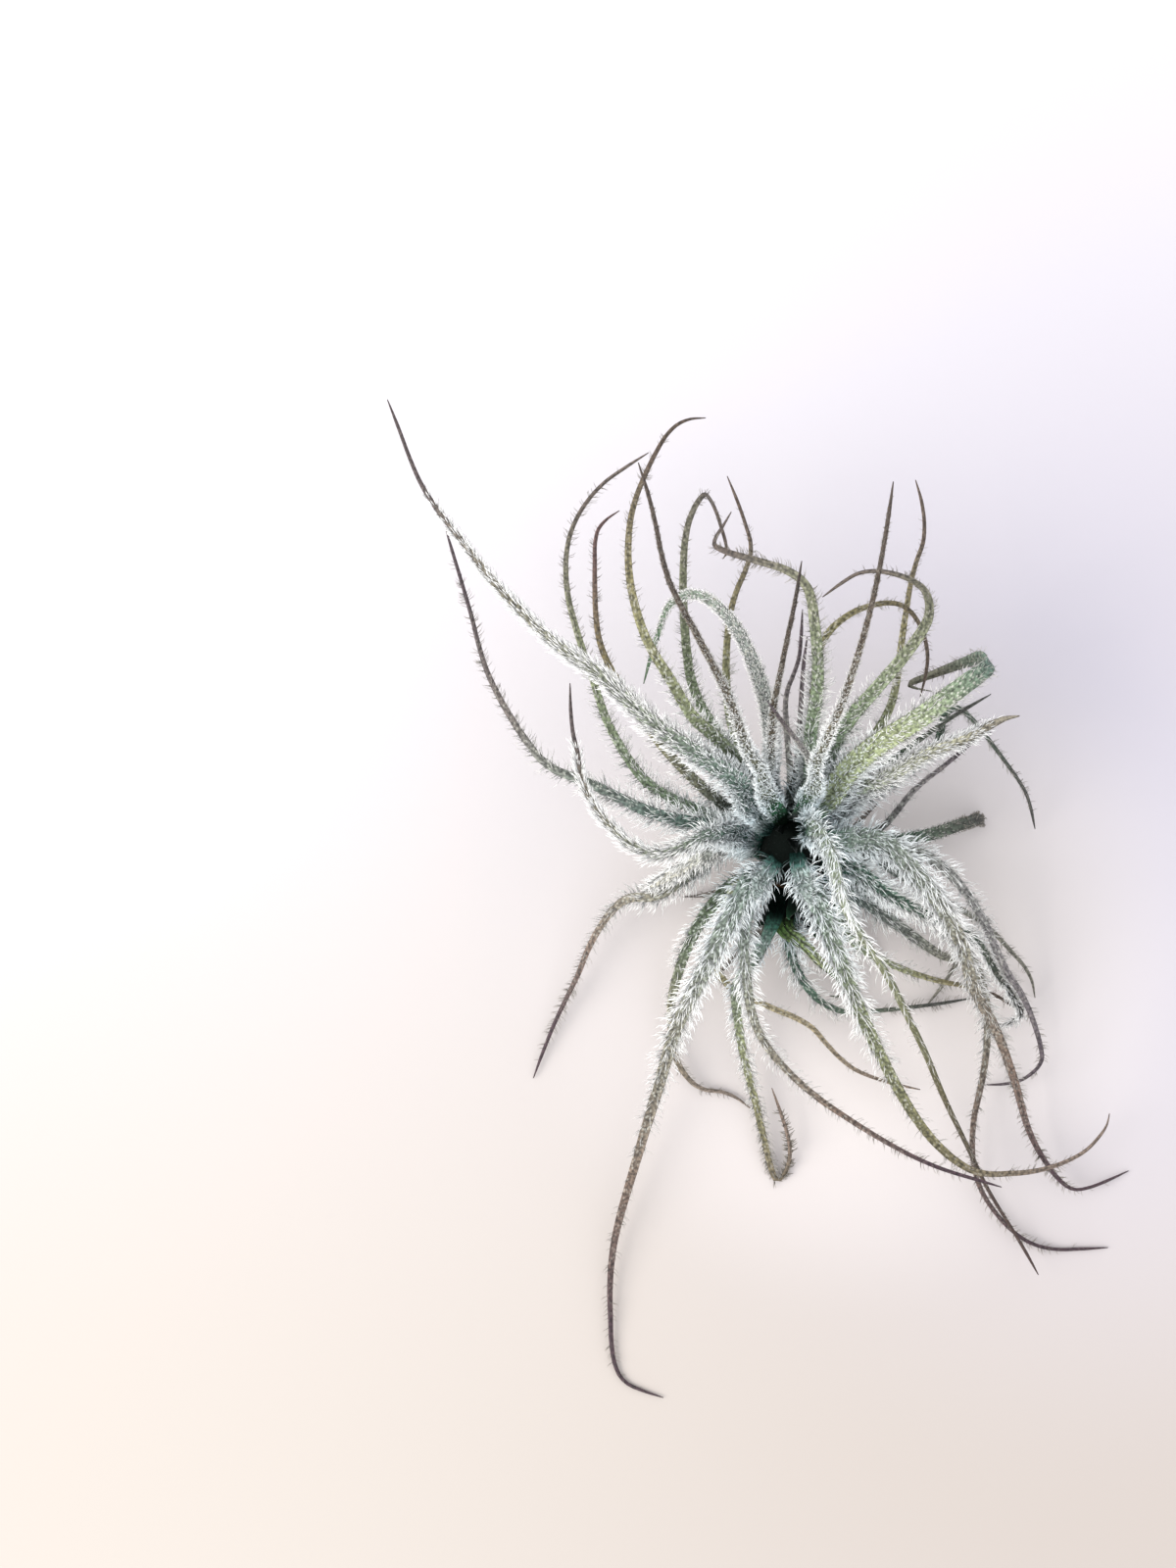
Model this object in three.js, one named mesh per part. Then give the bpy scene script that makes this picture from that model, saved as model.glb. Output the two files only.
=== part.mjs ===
// Air plant: a rosette of narrow, channelled leaves on a short leaning stem with a dry cut base.
// Millimetres, +Z up. The origin is the middle of the stem's flat base, on the surface that the plant lies on.
// Every leaf is one thin blade in a mesh of its own, seated just clear of the stem and bent clear of its neighbours.

import * as THREE from "three";

// ---- driving dimensions ----

const STEM_HEIGHT = 37;
const STEM_BASE_RADIUS = 4.5;
const STEM_WAIST_RADIUS = 6.4;
const CROWN_RADIUS = 3.7; // the flat top, where the youngest leaves stand
const CROWN_RING = 2.4;
const STEM_LEAN = new THREE.Vector2(-2.5, 11.5); // how far the growing point stands off the base
const STEM_SIDES = 16;
const SCARS = 13; // rings that fallen leaves left round the stem
const SCAR_DEPTH = 0.55;

const SEAT_GAP = 0.45; // between a leaf's base and the stem
const LEAF_GAP = 0.35; // between one leaf and the next
const LOWEST_SEAT = 4.5;
const HIGHEST_SEAT = 33.5;
const SEAT_RISE = 2.7; // from one seat to the next one over it

const BLADE_THICKNESS = 1.05; // at the base
const TIP_THICKNESS = 0.66;
const TIP_WIDTH = 0.78;
const CHANNEL = 0.17; // how far the margins stand above the middle, as a share of the blade's width
const LONG_STEP = 6.4; // the furthest apart that two cross-sections of a straight leaf lie
const BEND_STEP = THREE.MathUtils.degToRad(30); // the most that a leaf bends between two of them
const SHEATH_LENGTH = 10; // where the blade has drawn in from its wide clasping base
const SHEATH_MARGIN = 3.4; // a sheath's width is this much and a share of its blade's
const SHEATH_SHARE = 0.5;
const CROWN_SEAT_WIDTH = 2.3;
const TAPER = 1.6; // over 1, so that a blade narrows early and ends in a long thread
const FINE = 240; // points at which a route's bend is read
const FEWEST_STEPS = 4;
const COLLAR = 1.8; // the first stretch of a leaf, which stands straight out of the stem
const LAUNCH = 5.5; // the next, which slopes up more the higher the leaf is seated
const SHORT_LAUNCH = 3.4;
const LAUNCH_CLEARANCE = 1.4; // a route goes on from its first point past this many launches
const LOWEST_SLOPE = -0.1;
const HIGHEST_SLOPE = 1.1;

// How the leaves are kept apart.
const SEAT_DROP = 0.8; // a seat is first sought at this share of the height that its leaf starts from
const SEAT_PUSH = 0.25;
const FIRM_SECTIONS = 3; // cross-sections over which a leaf comes free of its seat
const SPREAD_ROUNDS = 300;
const TURN_COST = 0.8; // a seat goes round the stem rather than along it where that is this much shorter
const BEND_ROUNDS = 240;
const LOOK_AGAIN = 12; // rounds between two searches for neighbours
const NEAR = 11; // how close two stretches of leaf are searched as neighbours
const PUSH = 0.3; // the share of a shortfall that a leaf gives way in one round
const SMOOTH = 0.3; // how much a bend is shared with the stretches beside it
const TOUCHING = 0.2; // nearer than this, two middle lines have no direction between them
const PARALLEL = 1e-9;

// The routes below are read from above in picture units. These three values place them in millimetres.
const UNIT = 0.2; // one picture unit on the surface
const VIEW_CENTRE = new THREE.Vector2(600, 800); // the point straight below the eye
const EYE_HEIGHT = 480;
const BASE_PLACE = new THREE.Vector2(806, 900); // where the stem's base stands

// ---- the leaves: [across, down, height in mm] from the base to the tip ----

const OUTER = [
  // west, sinking to the surface
  { width: 4.6, route: [[756, 878, 10], [714, 903, 12], [672, 913, 12], [637, 919, 10], [607, 954, 7],
    [590, 993, 4.5], [567, 1042, 2], [545, 1100, 0]] },
  // south, under the striped leaf, with a round sweep to the east
  { width: 3.2, route: [[807, 948, 7], [807, 972, 7.5], [816, 995, 7], [835, 1019, 6], [859, 1031, 5],
    [885, 1032, 4], [946, 1026, 2], [991, 1019, 0]] },
  // south-east, hooked back at its end
  { width: 3.6, route: [[890, 925, 9], [925, 950, 9], [960, 974, 7], [976, 981, 5], [971, 991, 4],
    [964, 1002, 2.5], [944, 1026, 0]] },
  // east, thin, seen only at its end
  { width: 2.8, route: [[880, 880, 10], [950, 912, 10], [1000, 940, 8], [1029, 969, 5], [1050, 995, 2.5],
    [1056, 1018, 0]] },
  // south-west, a flat S along the surface
  { width: 3.6, route: [[755, 905, 11], [722, 930, 11], [705, 960, 9], [691, 998, 7], [685, 1026, 5],
    [690, 1081, 2.5], [712, 1109, 1.2], [744, 1116, 0.6], [767, 1131, 0]] },
  // east, thick, with a blunt end turned down
  { width: 3.4, tip: 2.2, route: [[872, 858, 11], [909, 857, 12], [951, 850, 10], [986, 839, 7],
    [999, 836, 4], [1003, 840, 0]] },
  // south, short and striped, curled at its end
  { width: 4, route: [[803, 928, 13], [809, 946, 14], [821, 963, 14], [835, 979, 13], [848, 990, 11],
    [859, 1001, 9], [862, 1010, 8], [857, 1017, 7], [846, 1016, 6.5]] },
  // north, thin, in the shade
  { width: 2.4, route: [[806, 800, 14], [802, 712, 20], [809, 691, 23], [816, 670, 26], [819, 622, 32]] },
  // north, a high arch with its end turned back
  { width: 3.2, route: [[770, 790, 16], [724, 735, 24], [707, 698, 30], [700, 656, 37], [696, 592, 44],
    [700, 543, 46], [709, 518, 45], [720, 505, 42], [728, 517, 38], [735, 536, 33], [742, 563, 28],
    [738, 570, 26]] },
  // south-west, thin, then across to the east
  { width: 2.6, route: [[760, 920, 14], [738, 955, 13], [731, 985, 12], [743, 1004, 11], [783, 1026, 10],
    [826, 1047, 9], [847, 1070, 8], [868, 1089, 7], [899, 1102, 5], [939, 1111, 3]] },
  // south-east, thin
  { width: 2.8, route: [[850, 930, 14], [872, 962, 13], [918, 987, 10], [960, 1001, 8], [1007, 1012, 6],
    [1045, 1035, 4]] },
  // north-east, thin and dark
  { width: 2.2, route: [[866, 862, 17], [901, 844, 20], [936, 804, 24], [967, 780, 25], [1006, 750, 24],
    [1014, 748, 23]] },
  // south, hooked on the surface at the far end
  { width: 3, route: [[792, 928, 17], [768, 977, 17], [750, 1005, 15], [751, 1040, 11], [758, 1082, 7],
    [769, 1123, 4], [783, 1179, 1.6], [793, 1204, 0], [804, 1184, 1.2], [803, 1158, 4], [788, 1110, 7]] },
  // south-east, long, ending level on the surface
  { width: 3, route: [[890, 905, 18], [930, 925, 18], [987, 970, 14], [1003, 1012, 11], [1007, 1052, 9],
    [1003, 1099, 7], [994, 1140, 5.5], [993, 1185, 4], [1004, 1221, 2.6], [1036, 1259, 1.4], [1067, 1273, 0.6],
    [1130, 1272, 0]] },
];

const MIDDLE = [
  // north-east, an arch that comes back down
  { width: 3, route: [[821, 790, 20], [828, 730, 30], [832, 690, 36], [842, 650, 42], [874, 623, 45],
    [915, 616, 45], [937, 634, 42], [947, 670, 38], [939, 711, 33]] },
  // north-west, long and upright beside its neighbour
  { width: 3.4, route: [[740, 838, 20], [682, 813, 27], [658, 794, 30], [624, 740, 35], [606, 690, 37],
    [590, 646, 36], [578, 597, 34], [582, 546, 32], [609, 501, 29], [662, 462, 26]] },
  // west, short and blunt
  { width: 5.2, tip: 2.4, route: [[754, 842, 20], [714, 870, 21], [693, 884, 19], [661, 902, 16]] },
  // north-west, under the broad silver leaf
  { width: 3.2, route: [[758, 832, 22], [726, 813, 27], [697, 787, 32], [672, 759, 36], [650, 726, 39],
    [630, 695, 41], [612, 656, 41], [606, 585, 40], [610, 540, 37], [632, 521, 34]] },
  // east, then far south with a hooked end
  { width: 3, route: [[876, 862, 21], [930, 867, 24], [969, 891, 22], [999, 931, 19], [1024, 987, 14],
    [1046, 1022, 10], [1062, 1068, 6], [1062, 1084, 5], [1039, 1103, 2.5], [1003, 1107, 0]] },
  // north-east, over a knee and down to the surface
  { width: 3, route: [[880, 815, 24], [920, 790, 29], [954, 762, 31.5], [962, 732, 32], [972, 723, 31.5],
    [982, 728, 30], [1007, 756, 24], [1035, 792, 15], [1048, 817, 8], [1055, 846, 2]] },
  // north-east, slender
  { width: 3, route: [[860, 785, 27], [880, 765, 31], [909, 719, 37], [922, 645, 39], [932, 583, 37],
    [942, 550, 35], [941, 520, 33], [934, 490, 30]] },
  // north, slender, bent twice
  { width: 3, route: [[765, 785, 27], [746, 740, 34], [741, 680, 40], [747, 618, 42], [762, 578, 41],
    [766, 560, 40], [759, 533, 37], [742, 486, 33]] },
  // north-east, under the folded leaf
  { width: 2.8, route: [[880, 797, 28], [905, 778, 31], [965, 736, 34], [1011, 709, 34]] },
  // south-east, dark green, turned back under its neighbour
  { width: 3.4, route: [[872, 889, 24.5], [911, 915, 25], [960, 939, 22], [996, 959, 18], [1015, 990, 13],
    [1031, 1015, 9], [1041, 1035, 6], [1030, 1043, 5], [1018, 1049, 4]] },
  // north, thin, in the shade
  { width: 2.4, route: [[813, 785, 29], [815, 747, 35], [819, 684, 43], [824, 650, 47]] },
  // south, then long to the east
  { width: 3.2, route: [[780, 925, 25], [758, 963, 24], [761, 991, 22], [768, 1035, 20], [783, 1068, 18.5],
    [821, 1110, 17.5], [872, 1146, 17], [946, 1186, 17], [1022, 1212, 16]] },
  // west, long, ending in a straight thread
  { width: 4, route: [[735, 845, 28], [683, 835, 32], [651, 824, 34], [606, 801, 35], [561, 781, 34],
    [530, 744, 32], [498, 688, 30], [478, 617, 27], [455, 537, 24]] },
  // north, arched over two others
  { width: 3.2, taper: 0.8, route: [[788, 770, 33], [786, 740, 39], [770, 679, 49], [746, 632, 53],
    [714, 607, 52], [686, 615, 48], [671, 652, 43], [657, 698, 38]] },
  // north-east, a broad green arch
  { width: 3.8, taper: 0.95, route: [[845, 775, 33], [867, 733, 42], [895, 702, 48], [933, 656, 52], [948, 628, 51],
    [943, 602, 49], [916, 587, 46], [879, 585, 42], [839, 609, 36]] },
];

const INNER = [
  // south-west, the longest, lying along the surface at its end
  { width: 4.6, route: [[758, 914, 29], [733, 959, 27], [712, 1004, 23], [691, 1047, 18.5], [668, 1119, 12],
    [650, 1183, 8], [626, 1271, 3.6], [622, 1329, 1.6], [634, 1405, 0.4], [677, 1425, 0]] },
  // north-east, broad and silver
  { width: 4.2, taper: 0.85, route: [[880, 803, 32], [902, 794, 35], [944, 768, 38], [986, 753, 38], [1021, 735, 36],
    [1040, 731, 34]] },
  // west, turned up into a thin thread
  { width: 3.6, route: [[742, 843, 31], [714, 853, 34], [679, 870, 36], [658, 870, 37], [633, 854, 38],
    [608, 825, 39], [595, 798, 40], [588, 759, 41], [584, 744, 41], [581, 697, 41]] },
  // south-east, long, crossing two others at its end
  { width: 4.4, route: [[834, 921, 31.5], [845, 949, 30], [862, 990, 26], [883, 1043, 21], [902, 1085, 17],
    [929, 1133, 14], [958, 1169, 13], [994, 1194, 13], [1032, 1197, 12], [1070, 1192, 10],
    [1109, 1173, 8], [1130, 1146, 7], [1132, 1136, 6.5]] },
  // south-east, the widest, sweeping down to the surface
  { width: 5, route: [[888, 856, 33], [902, 859, 34.5], [934, 887, 35.5], [958, 919, 33], [980, 960, 28],
    [993, 1007, 23], [1017, 1052, 18], [1036, 1103, 12.5], [1049, 1152, 8.5], [1068, 1188, 5.5],
    [1095, 1213, 3], [1128, 1205, 1.2], [1151, 1194, 0]] },
  // north-west, tall and olive, bowed to the west
  { width: 4, route: [[765, 795, 36], [728, 752, 44], [711, 737, 48], [686, 695, 53], [661, 653, 55],
    [643, 592, 55], [643, 533, 53], [657, 489, 50], [685, 440, 46], [700, 430, 45], [720, 427, 43]] },
  // north, an S with a hooked end
  { width: 3.2, taper: 1.1, route: [[828, 782, 35.5], [827, 754, 41], [835, 698, 50], [833, 642, 56], [824, 599, 57],
    [804, 583, 56], [773, 573, 54], [742, 564, 51], [729, 556, 49], [738, 536, 46], [746, 522, 45]] },
  // north-east, the thickest, folded under at its far end
  { width: 5.2, taper: 0.85, route: [[868, 782, 37.5], [895, 759, 43], [937, 733, 48], [979, 702, 50], [1000, 687, 49],
    [1009, 678, 46.5], [1003, 671, 43], [985, 676, 37], [950, 689, 29], [927, 699, 26], [951, 705, 24]] },
  // north-west, broad and silver, ending in a long straight thread
  { width: 5, route: [[756, 798, 37.5], [700, 761, 46], [658, 729, 50], [613, 687, 52], [574, 662, 52],
    [510, 601, 50], [474, 554, 48], [431, 495, 46], [395, 408, 43]] },
  // north, a short dark thread
  { width: 2.2, route: [[829, 781, 39], [815, 759, 45], [798, 737, 50], [782, 716, 54]] },
  // north, slender and upright
  { width: 2.6, route: [[785, 782, 39], [787, 726, 50], [797, 681, 58], [805, 642, 64], [811, 614, 68],
    [818, 573, 72]] },
  // south-east, arched out of the crown and down to the surface
  { width: 5, crown: 5, taper: 1.1, route: [[834, 846, 43.5], [848, 868, 47.5], [857, 903, 48.5],
    [869, 935, 46], [883, 960, 42.5], [911, 1005, 35.5], [941, 1068, 26.5], [963, 1117, 20.5], [986, 1169, 14],
    [1007, 1211, 9], [1028, 1247, 7], [1060, 1301, 5]] },
  // north-west and north, the two tallest
  { width: 2.4, route: [[775, 782, 42], [763, 766, 45], [741, 707, 56], [709, 643, 65], [681, 588, 71],
    [664, 517, 76], [651, 472, 78]] },
  { width: 2.2, route: [[833, 780, 43], [842, 757, 47], [867, 695, 58], [889, 622, 69], [902, 553, 77],
    [911, 491, 82]] },
];

// Dry lower leaves, hidden from above: the direction that each one takes and how far it reaches.
const LOWER = [
  { bearing: 125, reach: 27 },
  { bearing: 42, reach: 24 },
  { bearing: -40, reach: 25 },
  { bearing: -128, reach: 26 },
  { bearing: -172, reach: 22 },
];
const LOWER_WIDTH = 3.4;
const LOWER_RUN = [[0.31, 5.5], [0.55, 5], [0.8, 3], [1, 0]]; // [share of the reach, height]

// Short leaves that clasp the front of the stem, in the dark gap among the long ones.
const SHORT = [
  { bearing: -72, seat: 8 },
  { bearing: -120, seat: 13 },
  { bearing: -52, seat: 18.5 },
  { bearing: -96, seat: 23 },
  { bearing: -128, seat: 27 },
  { bearing: -78, seat: 32 },
];
const SHORT_WIDTH = 3.2;
const SHORT_RUN = [[10.5, 3.4], [12.5, 7], [13, 10.5]]; // [out from the stem's middle, up from the seat]

// Young leaves upright on the crown.
const HEART = [
  { bearing: 100, top: 50 },
  { bearing: 180, top: 47 },
  { bearing: 262, top: 49 },
];
const HEART_WIDTH = 2.2;
const HEART_RUN = [[1.2, 0.5], [1.7, 1]]; // [share of the crown's ring, share of the way up]

// ---- colours ----

const COLOURS = {
  stem: { color: "#3a2a1c", roughness: 0.9 },
  lower: { color: "#8a7f62", roughness: 0.85 },
  short: { color: "#6f7f5c", roughness: 0.85 },
  outer: { color: "#8d9c88", roughness: 0.8 },
  middle: { color: "#9fae9c", roughness: 0.8 },
  inner: { color: "#b4c0b4", roughness: 0.8 },
  heart: { color: "#5f7f63", roughness: 0.75 },
};

function finish(kind) {
  return new THREE.MeshStandardMaterial({ ...COLOURS[kind], metalness: 0, side: THREE.FrontSide });
}

// ---- the stem ----

// The middle of the stem at a height.
function stemAxis(z) {
  const share = THREE.MathUtils.clamp(z / STEM_HEIGHT, 0, 1);
  return new THREE.Vector3(STEM_LEAN.x * share, STEM_LEAN.y * share, z);
}

// The stem's outline from the base to the growing point: [share of the height, radius].
const STEM_OUTLINE = [
  [0, STEM_BASE_RADIUS],
  [0.08, STEM_BASE_RADIUS * 1.18],
  [0.2, STEM_WAIST_RADIUS * 0.94],
  [0.38, STEM_WAIST_RADIUS],
  [0.58, STEM_WAIST_RADIUS * 0.96],
  [0.76, STEM_WAIST_RADIUS * 0.86],
  [0.92, STEM_WAIST_RADIUS * 0.7],
  [1, CROWN_RADIUS],
];

function stemRadius(z) {
  const share = THREE.MathUtils.clamp(z / STEM_HEIGHT, 0, 1);
  const last = STEM_OUTLINE.length - 1;
  for (let i = 0; i < last; i += 1) {
    const [low, lowRadius] = STEM_OUTLINE[i];
    const [high, highRadius] = STEM_OUTLINE[i + 1];
    if (share <= high) return THREE.MathUtils.mapLinear(share, low, high, lowRadius, highRadius);
  }
  return STEM_OUTLINE[last][1];
}

// Each scar is a ring that widens upwards and ends in a small step.
function buildStem() {
  const profile = [new THREE.Vector2(0, 0), new THREE.Vector2(STEM_BASE_RADIUS, 0)];
  const rise = STEM_HEIGHT / SCARS;
  for (let i = 1; i < SCARS; i += 1) {
    const z = i * rise;
    profile.push(new THREE.Vector2(stemRadius(z), z - SCAR_DEPTH));
    profile.push(new THREE.Vector2(stemRadius(z) - SCAR_DEPTH, z));
  }
  profile.push(new THREE.Vector2(CROWN_RADIUS, STEM_HEIGHT), new THREE.Vector2(0, STEM_HEIGHT));
  const geometry = new THREE.LatheGeometry(profile, STEM_SIDES);
  geometry.rotateX(Math.PI / 2);
  const place = geometry.getAttribute("position");
  for (let i = 0; i < place.count; i += 1) {
    const axis = stemAxis(place.getZ(i));
    place.setXY(i, place.getX(i) + axis.x, place.getY(i) + axis.y);
  }
  const mesh = new THREE.Mesh(geometry, finish("stem"));
  mesh.name = "stem";
  return mesh;
}

// ---- routes ----

// A point of a route in millimetres, on the line of sight through its picture units at its height.
function placed([across, down, height]) {
  const nearer = UNIT * (1 - height / EYE_HEIGHT);
  const base = BASE_PLACE.clone().sub(VIEW_CENTRE).multiplyScalar(UNIT);
  return new THREE.Vector3(
    (across - VIEW_CENTRE.x) * nearer - base.x,
    (VIEW_CENTRE.y - down) * nearer + base.y,
    height,
  );
}

// A point this far out from the middle of the stem at a root height, in the direction of a bearing.
function outFrom(rootHeight, bearing, radius, z) {
  const angle = THREE.MathUtils.degToRad(bearing);
  const root = stemAxis(rootHeight);
  return new THREE.Vector3(root.x + Math.cos(angle) * radius, root.y + Math.sin(angle) * radius, z);
}

function lowerRoute({ bearing, reach }) {
  return LOWER_RUN.map(([share, z]) => outFrom(0, bearing, share * reach, z));
}

function shortRoute({ bearing, seat }) {
  return SHORT_RUN.map(([out, up]) => outFrom(seat, bearing, out, seat + up));
}

function heartRoute({ bearing, top }) {
  const up = (share) => THREE.MathUtils.lerp(STEM_HEIGHT, top, share);
  return HEART_RUN.map(([ring, share]) => outFrom(STEM_HEIGHT, bearing, ring * CROWN_RING, up(share)));
}

// ---- seats: where each leaf's base stands on the stem ----

// Spreads the seats over the stem's side, each a small box round the stem, until none lies on another.
function spreadSeats(leaves) {
  for (let round = 0; round < SPREAD_ROUNDS; round += 1) {
    for (let i = 0; i < leaves.length; i += 1) {
      for (let j = i + 1; j < leaves.length; j += 1) {
        const low = leaves[i].seat;
        const high = leaves[j].seat;
        const radius = stemRadius((low.z + high.z) / 2) + SEAT_GAP;
        const turn = Math.atan2(Math.sin(high.angle - low.angle), Math.cos(high.angle - low.angle));
        const across = (leaves[i].sheath + leaves[j].sheath) / 2 + LEAF_GAP - Math.abs(turn) * radius;
        const up = SEAT_RISE - Math.abs(high.z - low.z);
        if (across <= 0 || up <= 0) continue;
        if (up < across * TURN_COST) {
          const shift = up * SEAT_PUSH * (high.z >= low.z ? 1 : -1);
          low.z -= shift;
          high.z += shift;
        } else {
          const shift = (across / radius) * SEAT_PUSH * (turn >= 0 ? 1 : -1);
          low.angle -= shift;
          high.angle += shift;
        }
        low.z = THREE.MathUtils.clamp(low.z, LOWEST_SEAT, HIGHEST_SEAT);
        high.z = THREE.MathUtils.clamp(high.z, LOWEST_SEAT, HIGHEST_SEAT);
      }
    }
  }
}

function launchSlope(z) {
  return THREE.MathUtils.mapLinear(z, LOWEST_SEAT, HIGHEST_SEAT, LOWEST_SLOPE, HIGHEST_SLOPE);
}

// A point straight out from a seat: level from the stem's side, upright from its crown.
function seatPoint({ angle, z, crown }, out) {
  const radius = crown ? CROWN_RING : stemRadius(z) + SEAT_GAP + out;
  const point = stemAxis(z).add(new THREE.Vector3(Math.cos(angle) * radius, Math.sin(angle) * radius, 0));
  if (crown) point.z += SEAT_GAP + out;
  return point;
}

// ---- one leaf: its cross-sections ----

// The half width and half thickness of a leaf at a share of its length, this many millimetres from its seat.
function bladeSize(leaf, share, reach) {
  const taper = Math.pow(1 - share, leaf.taper);
  const blade = THREE.MathUtils.lerp(leaf.tip, leaf.width, taper);
  const opening = 1 - THREE.MathUtils.smoothstep(reach, 0, SHEATH_LENGTH);
  return {
    half: THREE.MathUtils.lerp(blade, Math.max(blade, leaf.sheath), opening) / 2,
    thick: THREE.MathUtils.lerp(TIP_THICKNESS, BLADE_THICKNESS, taper) / 2,
  };
}

// Turns the blade's upper face along with its route, without twist.
function orient(leaf) {
  const { points } = leaf;
  const last = points.length - 1;
  let up = leaf.face;
  leaf.frames = points.map((point, i) => {
    const along = i === 0 ? leaf.out.clone()
      : points[Math.min(i + 1, last)].clone().sub(points[i - 1]).normalize();
    up = up.clone().addScaledVector(along, -up.dot(along)).normalize();
    return { along, up, side: new THREE.Vector3().crossVectors(along, up) };
  });
}

function makeLeaf({ name, kind, width, tip = TIP_WIDTH, taper = TAPER, launch = LAUNCH, crown, points }) {
  const leaf = { name, kind, width, tip, taper, launch, route: points };
  if (crown === undefined) {
    const root = stemAxis(points[0].z * SEAT_DROP);
    leaf.sheath = SHEATH_MARGIN + SHEATH_SHARE * width;
    leaf.seat = { angle: Math.atan2(points[0].y - root.y, points[0].x - root.x), z: 0, crown: false };
  } else {
    leaf.sheath = CROWN_SEAT_WIDTH;
    leaf.seat = { angle: THREE.MathUtils.degToRad(crown), z: STEM_HEIGHT, crown: true };
  }
  return leaf;
}

// The first stretch of a leaf's middle line, from which its route goes on.
function launched(leaf) {
  const collar = seatPoint(leaf.seat, COLLAR);
  if (leaf.seat.crown) return [collar, ...leaf.route];
  const start = seatPoint(leaf.seat, 0);
  const launch = seatPoint(leaf.seat, leaf.launch);
  launch.z += (leaf.launch - COLLAR) * launchSlope(leaf.seat.z);
  const ahead = (point) => point.clone().sub(start).dot(leaf.out) > leaf.launch * LAUNCH_CLEARANCE;
  return [collar, launch, ...leaf.route.slice(leaf.route.findIndex(ahead))];
}

// Points along a curve, closer together where it bends.
function spacedByBend(curve) {
  const fine = curve.getSpacedPoints(FINE);
  const effort = [0];
  for (let i = 1; i <= FINE; i += 1) {
    const here = fine[i].clone().sub(fine[i - 1]);
    const next = i < FINE ? fine[i + 1].clone().sub(fine[i]) : here;
    effort.push(effort[i - 1] + here.length() / LONG_STEP + here.angleTo(next) / BEND_STEP);
  }
  const steps = Math.max(FEWEST_STEPS, Math.round(effort[FINE]));
  const points = [fine[0]];
  for (let k = 1, i = 1; k < steps; k += 1) {
    const wanted = (effort[FINE] * k) / steps;
    while (effort[i] < wanted) i += 1;
    const share = (wanted - effort[i - 1]) / (effort[i] - effort[i - 1]);
    points.push(fine[i - 1].clone().lerp(fine[i], share));
  }
  return [...points, fine[FINE]];
}

function layOut(leaf) {
  const radial = new THREE.Vector3(Math.cos(leaf.seat.angle), Math.sin(leaf.seat.angle), 0);
  const upright = new THREE.Vector3(0, 0, 1);
  leaf.out = leaf.seat.crown ? upright : radial;
  leaf.face = leaf.seat.crown ? radial.clone().negate() : upright;
  const start = seatPoint(leaf.seat, 0);
  const curve = new THREE.CatmullRomCurve3(launched(leaf), false, "centripetal");
  leaf.points = [start, ...spacedByBend(curve)];
  leaf.home = leaf.points.map((point) => point.clone());
  const last = leaf.points.length - 1;
  leaf.sizes = leaf.points.map((point, i) => bladeSize(leaf, i / last, point.distanceTo(start)));
  leaf.give = leaf.points.map((point, i) => Math.min(1, Math.max(0, i - 1) / FIRM_SECTIONS));
  orient(leaf);
}

// ---- bending the leaves clear of each other ----

// The closest points of two segments, as shares of their lengths.
function closestShares(a0, a1, b0, b1) {
  const u = a1.clone().sub(a0);
  const v = b1.clone().sub(b0);
  const w = a0.clone().sub(b0);
  const uu = u.dot(u);
  const uv = u.dot(v);
  const vv = v.dot(v);
  const uw = u.dot(w);
  const vw = v.dot(w);
  const clamp = (x) => Math.min(1, Math.max(0, x));
  const cross = uu * vv - uv * uv;
  let s = cross > PARALLEL ? clamp((uv * vw - vv * uw) / cross) : 0.5;
  const t = clamp((uv * s + vw) / vv);
  s = clamp((uv * t - uw) / uu);
  return [s, t];
}

function reachAlong(direction, frame, size) {
  const raised = size.thick + CHANNEL * size.half;
  return Math.abs(direction.dot(frame.side)) * size.half + Math.abs(direction.dot(frame.up)) * raised;
}

// Parts two leaves where segment i of the lower one meets segment j of the higher one.
function partSegments(low, i, high, j) {
  const [s, t] = closestShares(low.points[i], low.points[i + 1], high.points[j], high.points[j + 1]);
  const lowAt = low.points[i].clone().lerp(low.points[i + 1], s);
  const highAt = high.points[j].clone().lerp(high.points[j + 1], t);
  const between = highAt.clone().sub(lowAt);
  const lowFrame = low.frames[s < 0.5 ? i : i + 1];
  const highFrame = high.frames[t < 0.5 ? j : j + 1];
  const ways = [lowFrame.up, highFrame.up, lowFrame.side, highFrame.side];
  if (between.length() > TOUCHING) ways.push(between.clone().normalize());
  let least = Infinity;
  let push = null;
  for (const way of ways) {
    const apart = between.dot(way);
    const need = reachAlong(way, lowFrame, low.sizes[i]) + reachAlong(way, highFrame, high.sizes[j]);
    const short = need + LEAF_GAP - Math.abs(apart);
    if (short <= 0) return false;
    if (short < least) {
      least = short;
      push = way.clone().multiplyScalar(apart < 0 ? -short : short);
    }
  }
  const move = (leaf, at, share, sign) => {
    leaf.shift[at].addScaledVector(push, sign * (1 - share) * leaf.give[at]);
    leaf.shift[at + 1].addScaledVector(push, sign * share * leaf.give[at + 1]);
  };
  move(low, i, s, -PUSH);
  move(high, j, t, PUSH);
  return true;
}

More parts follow.
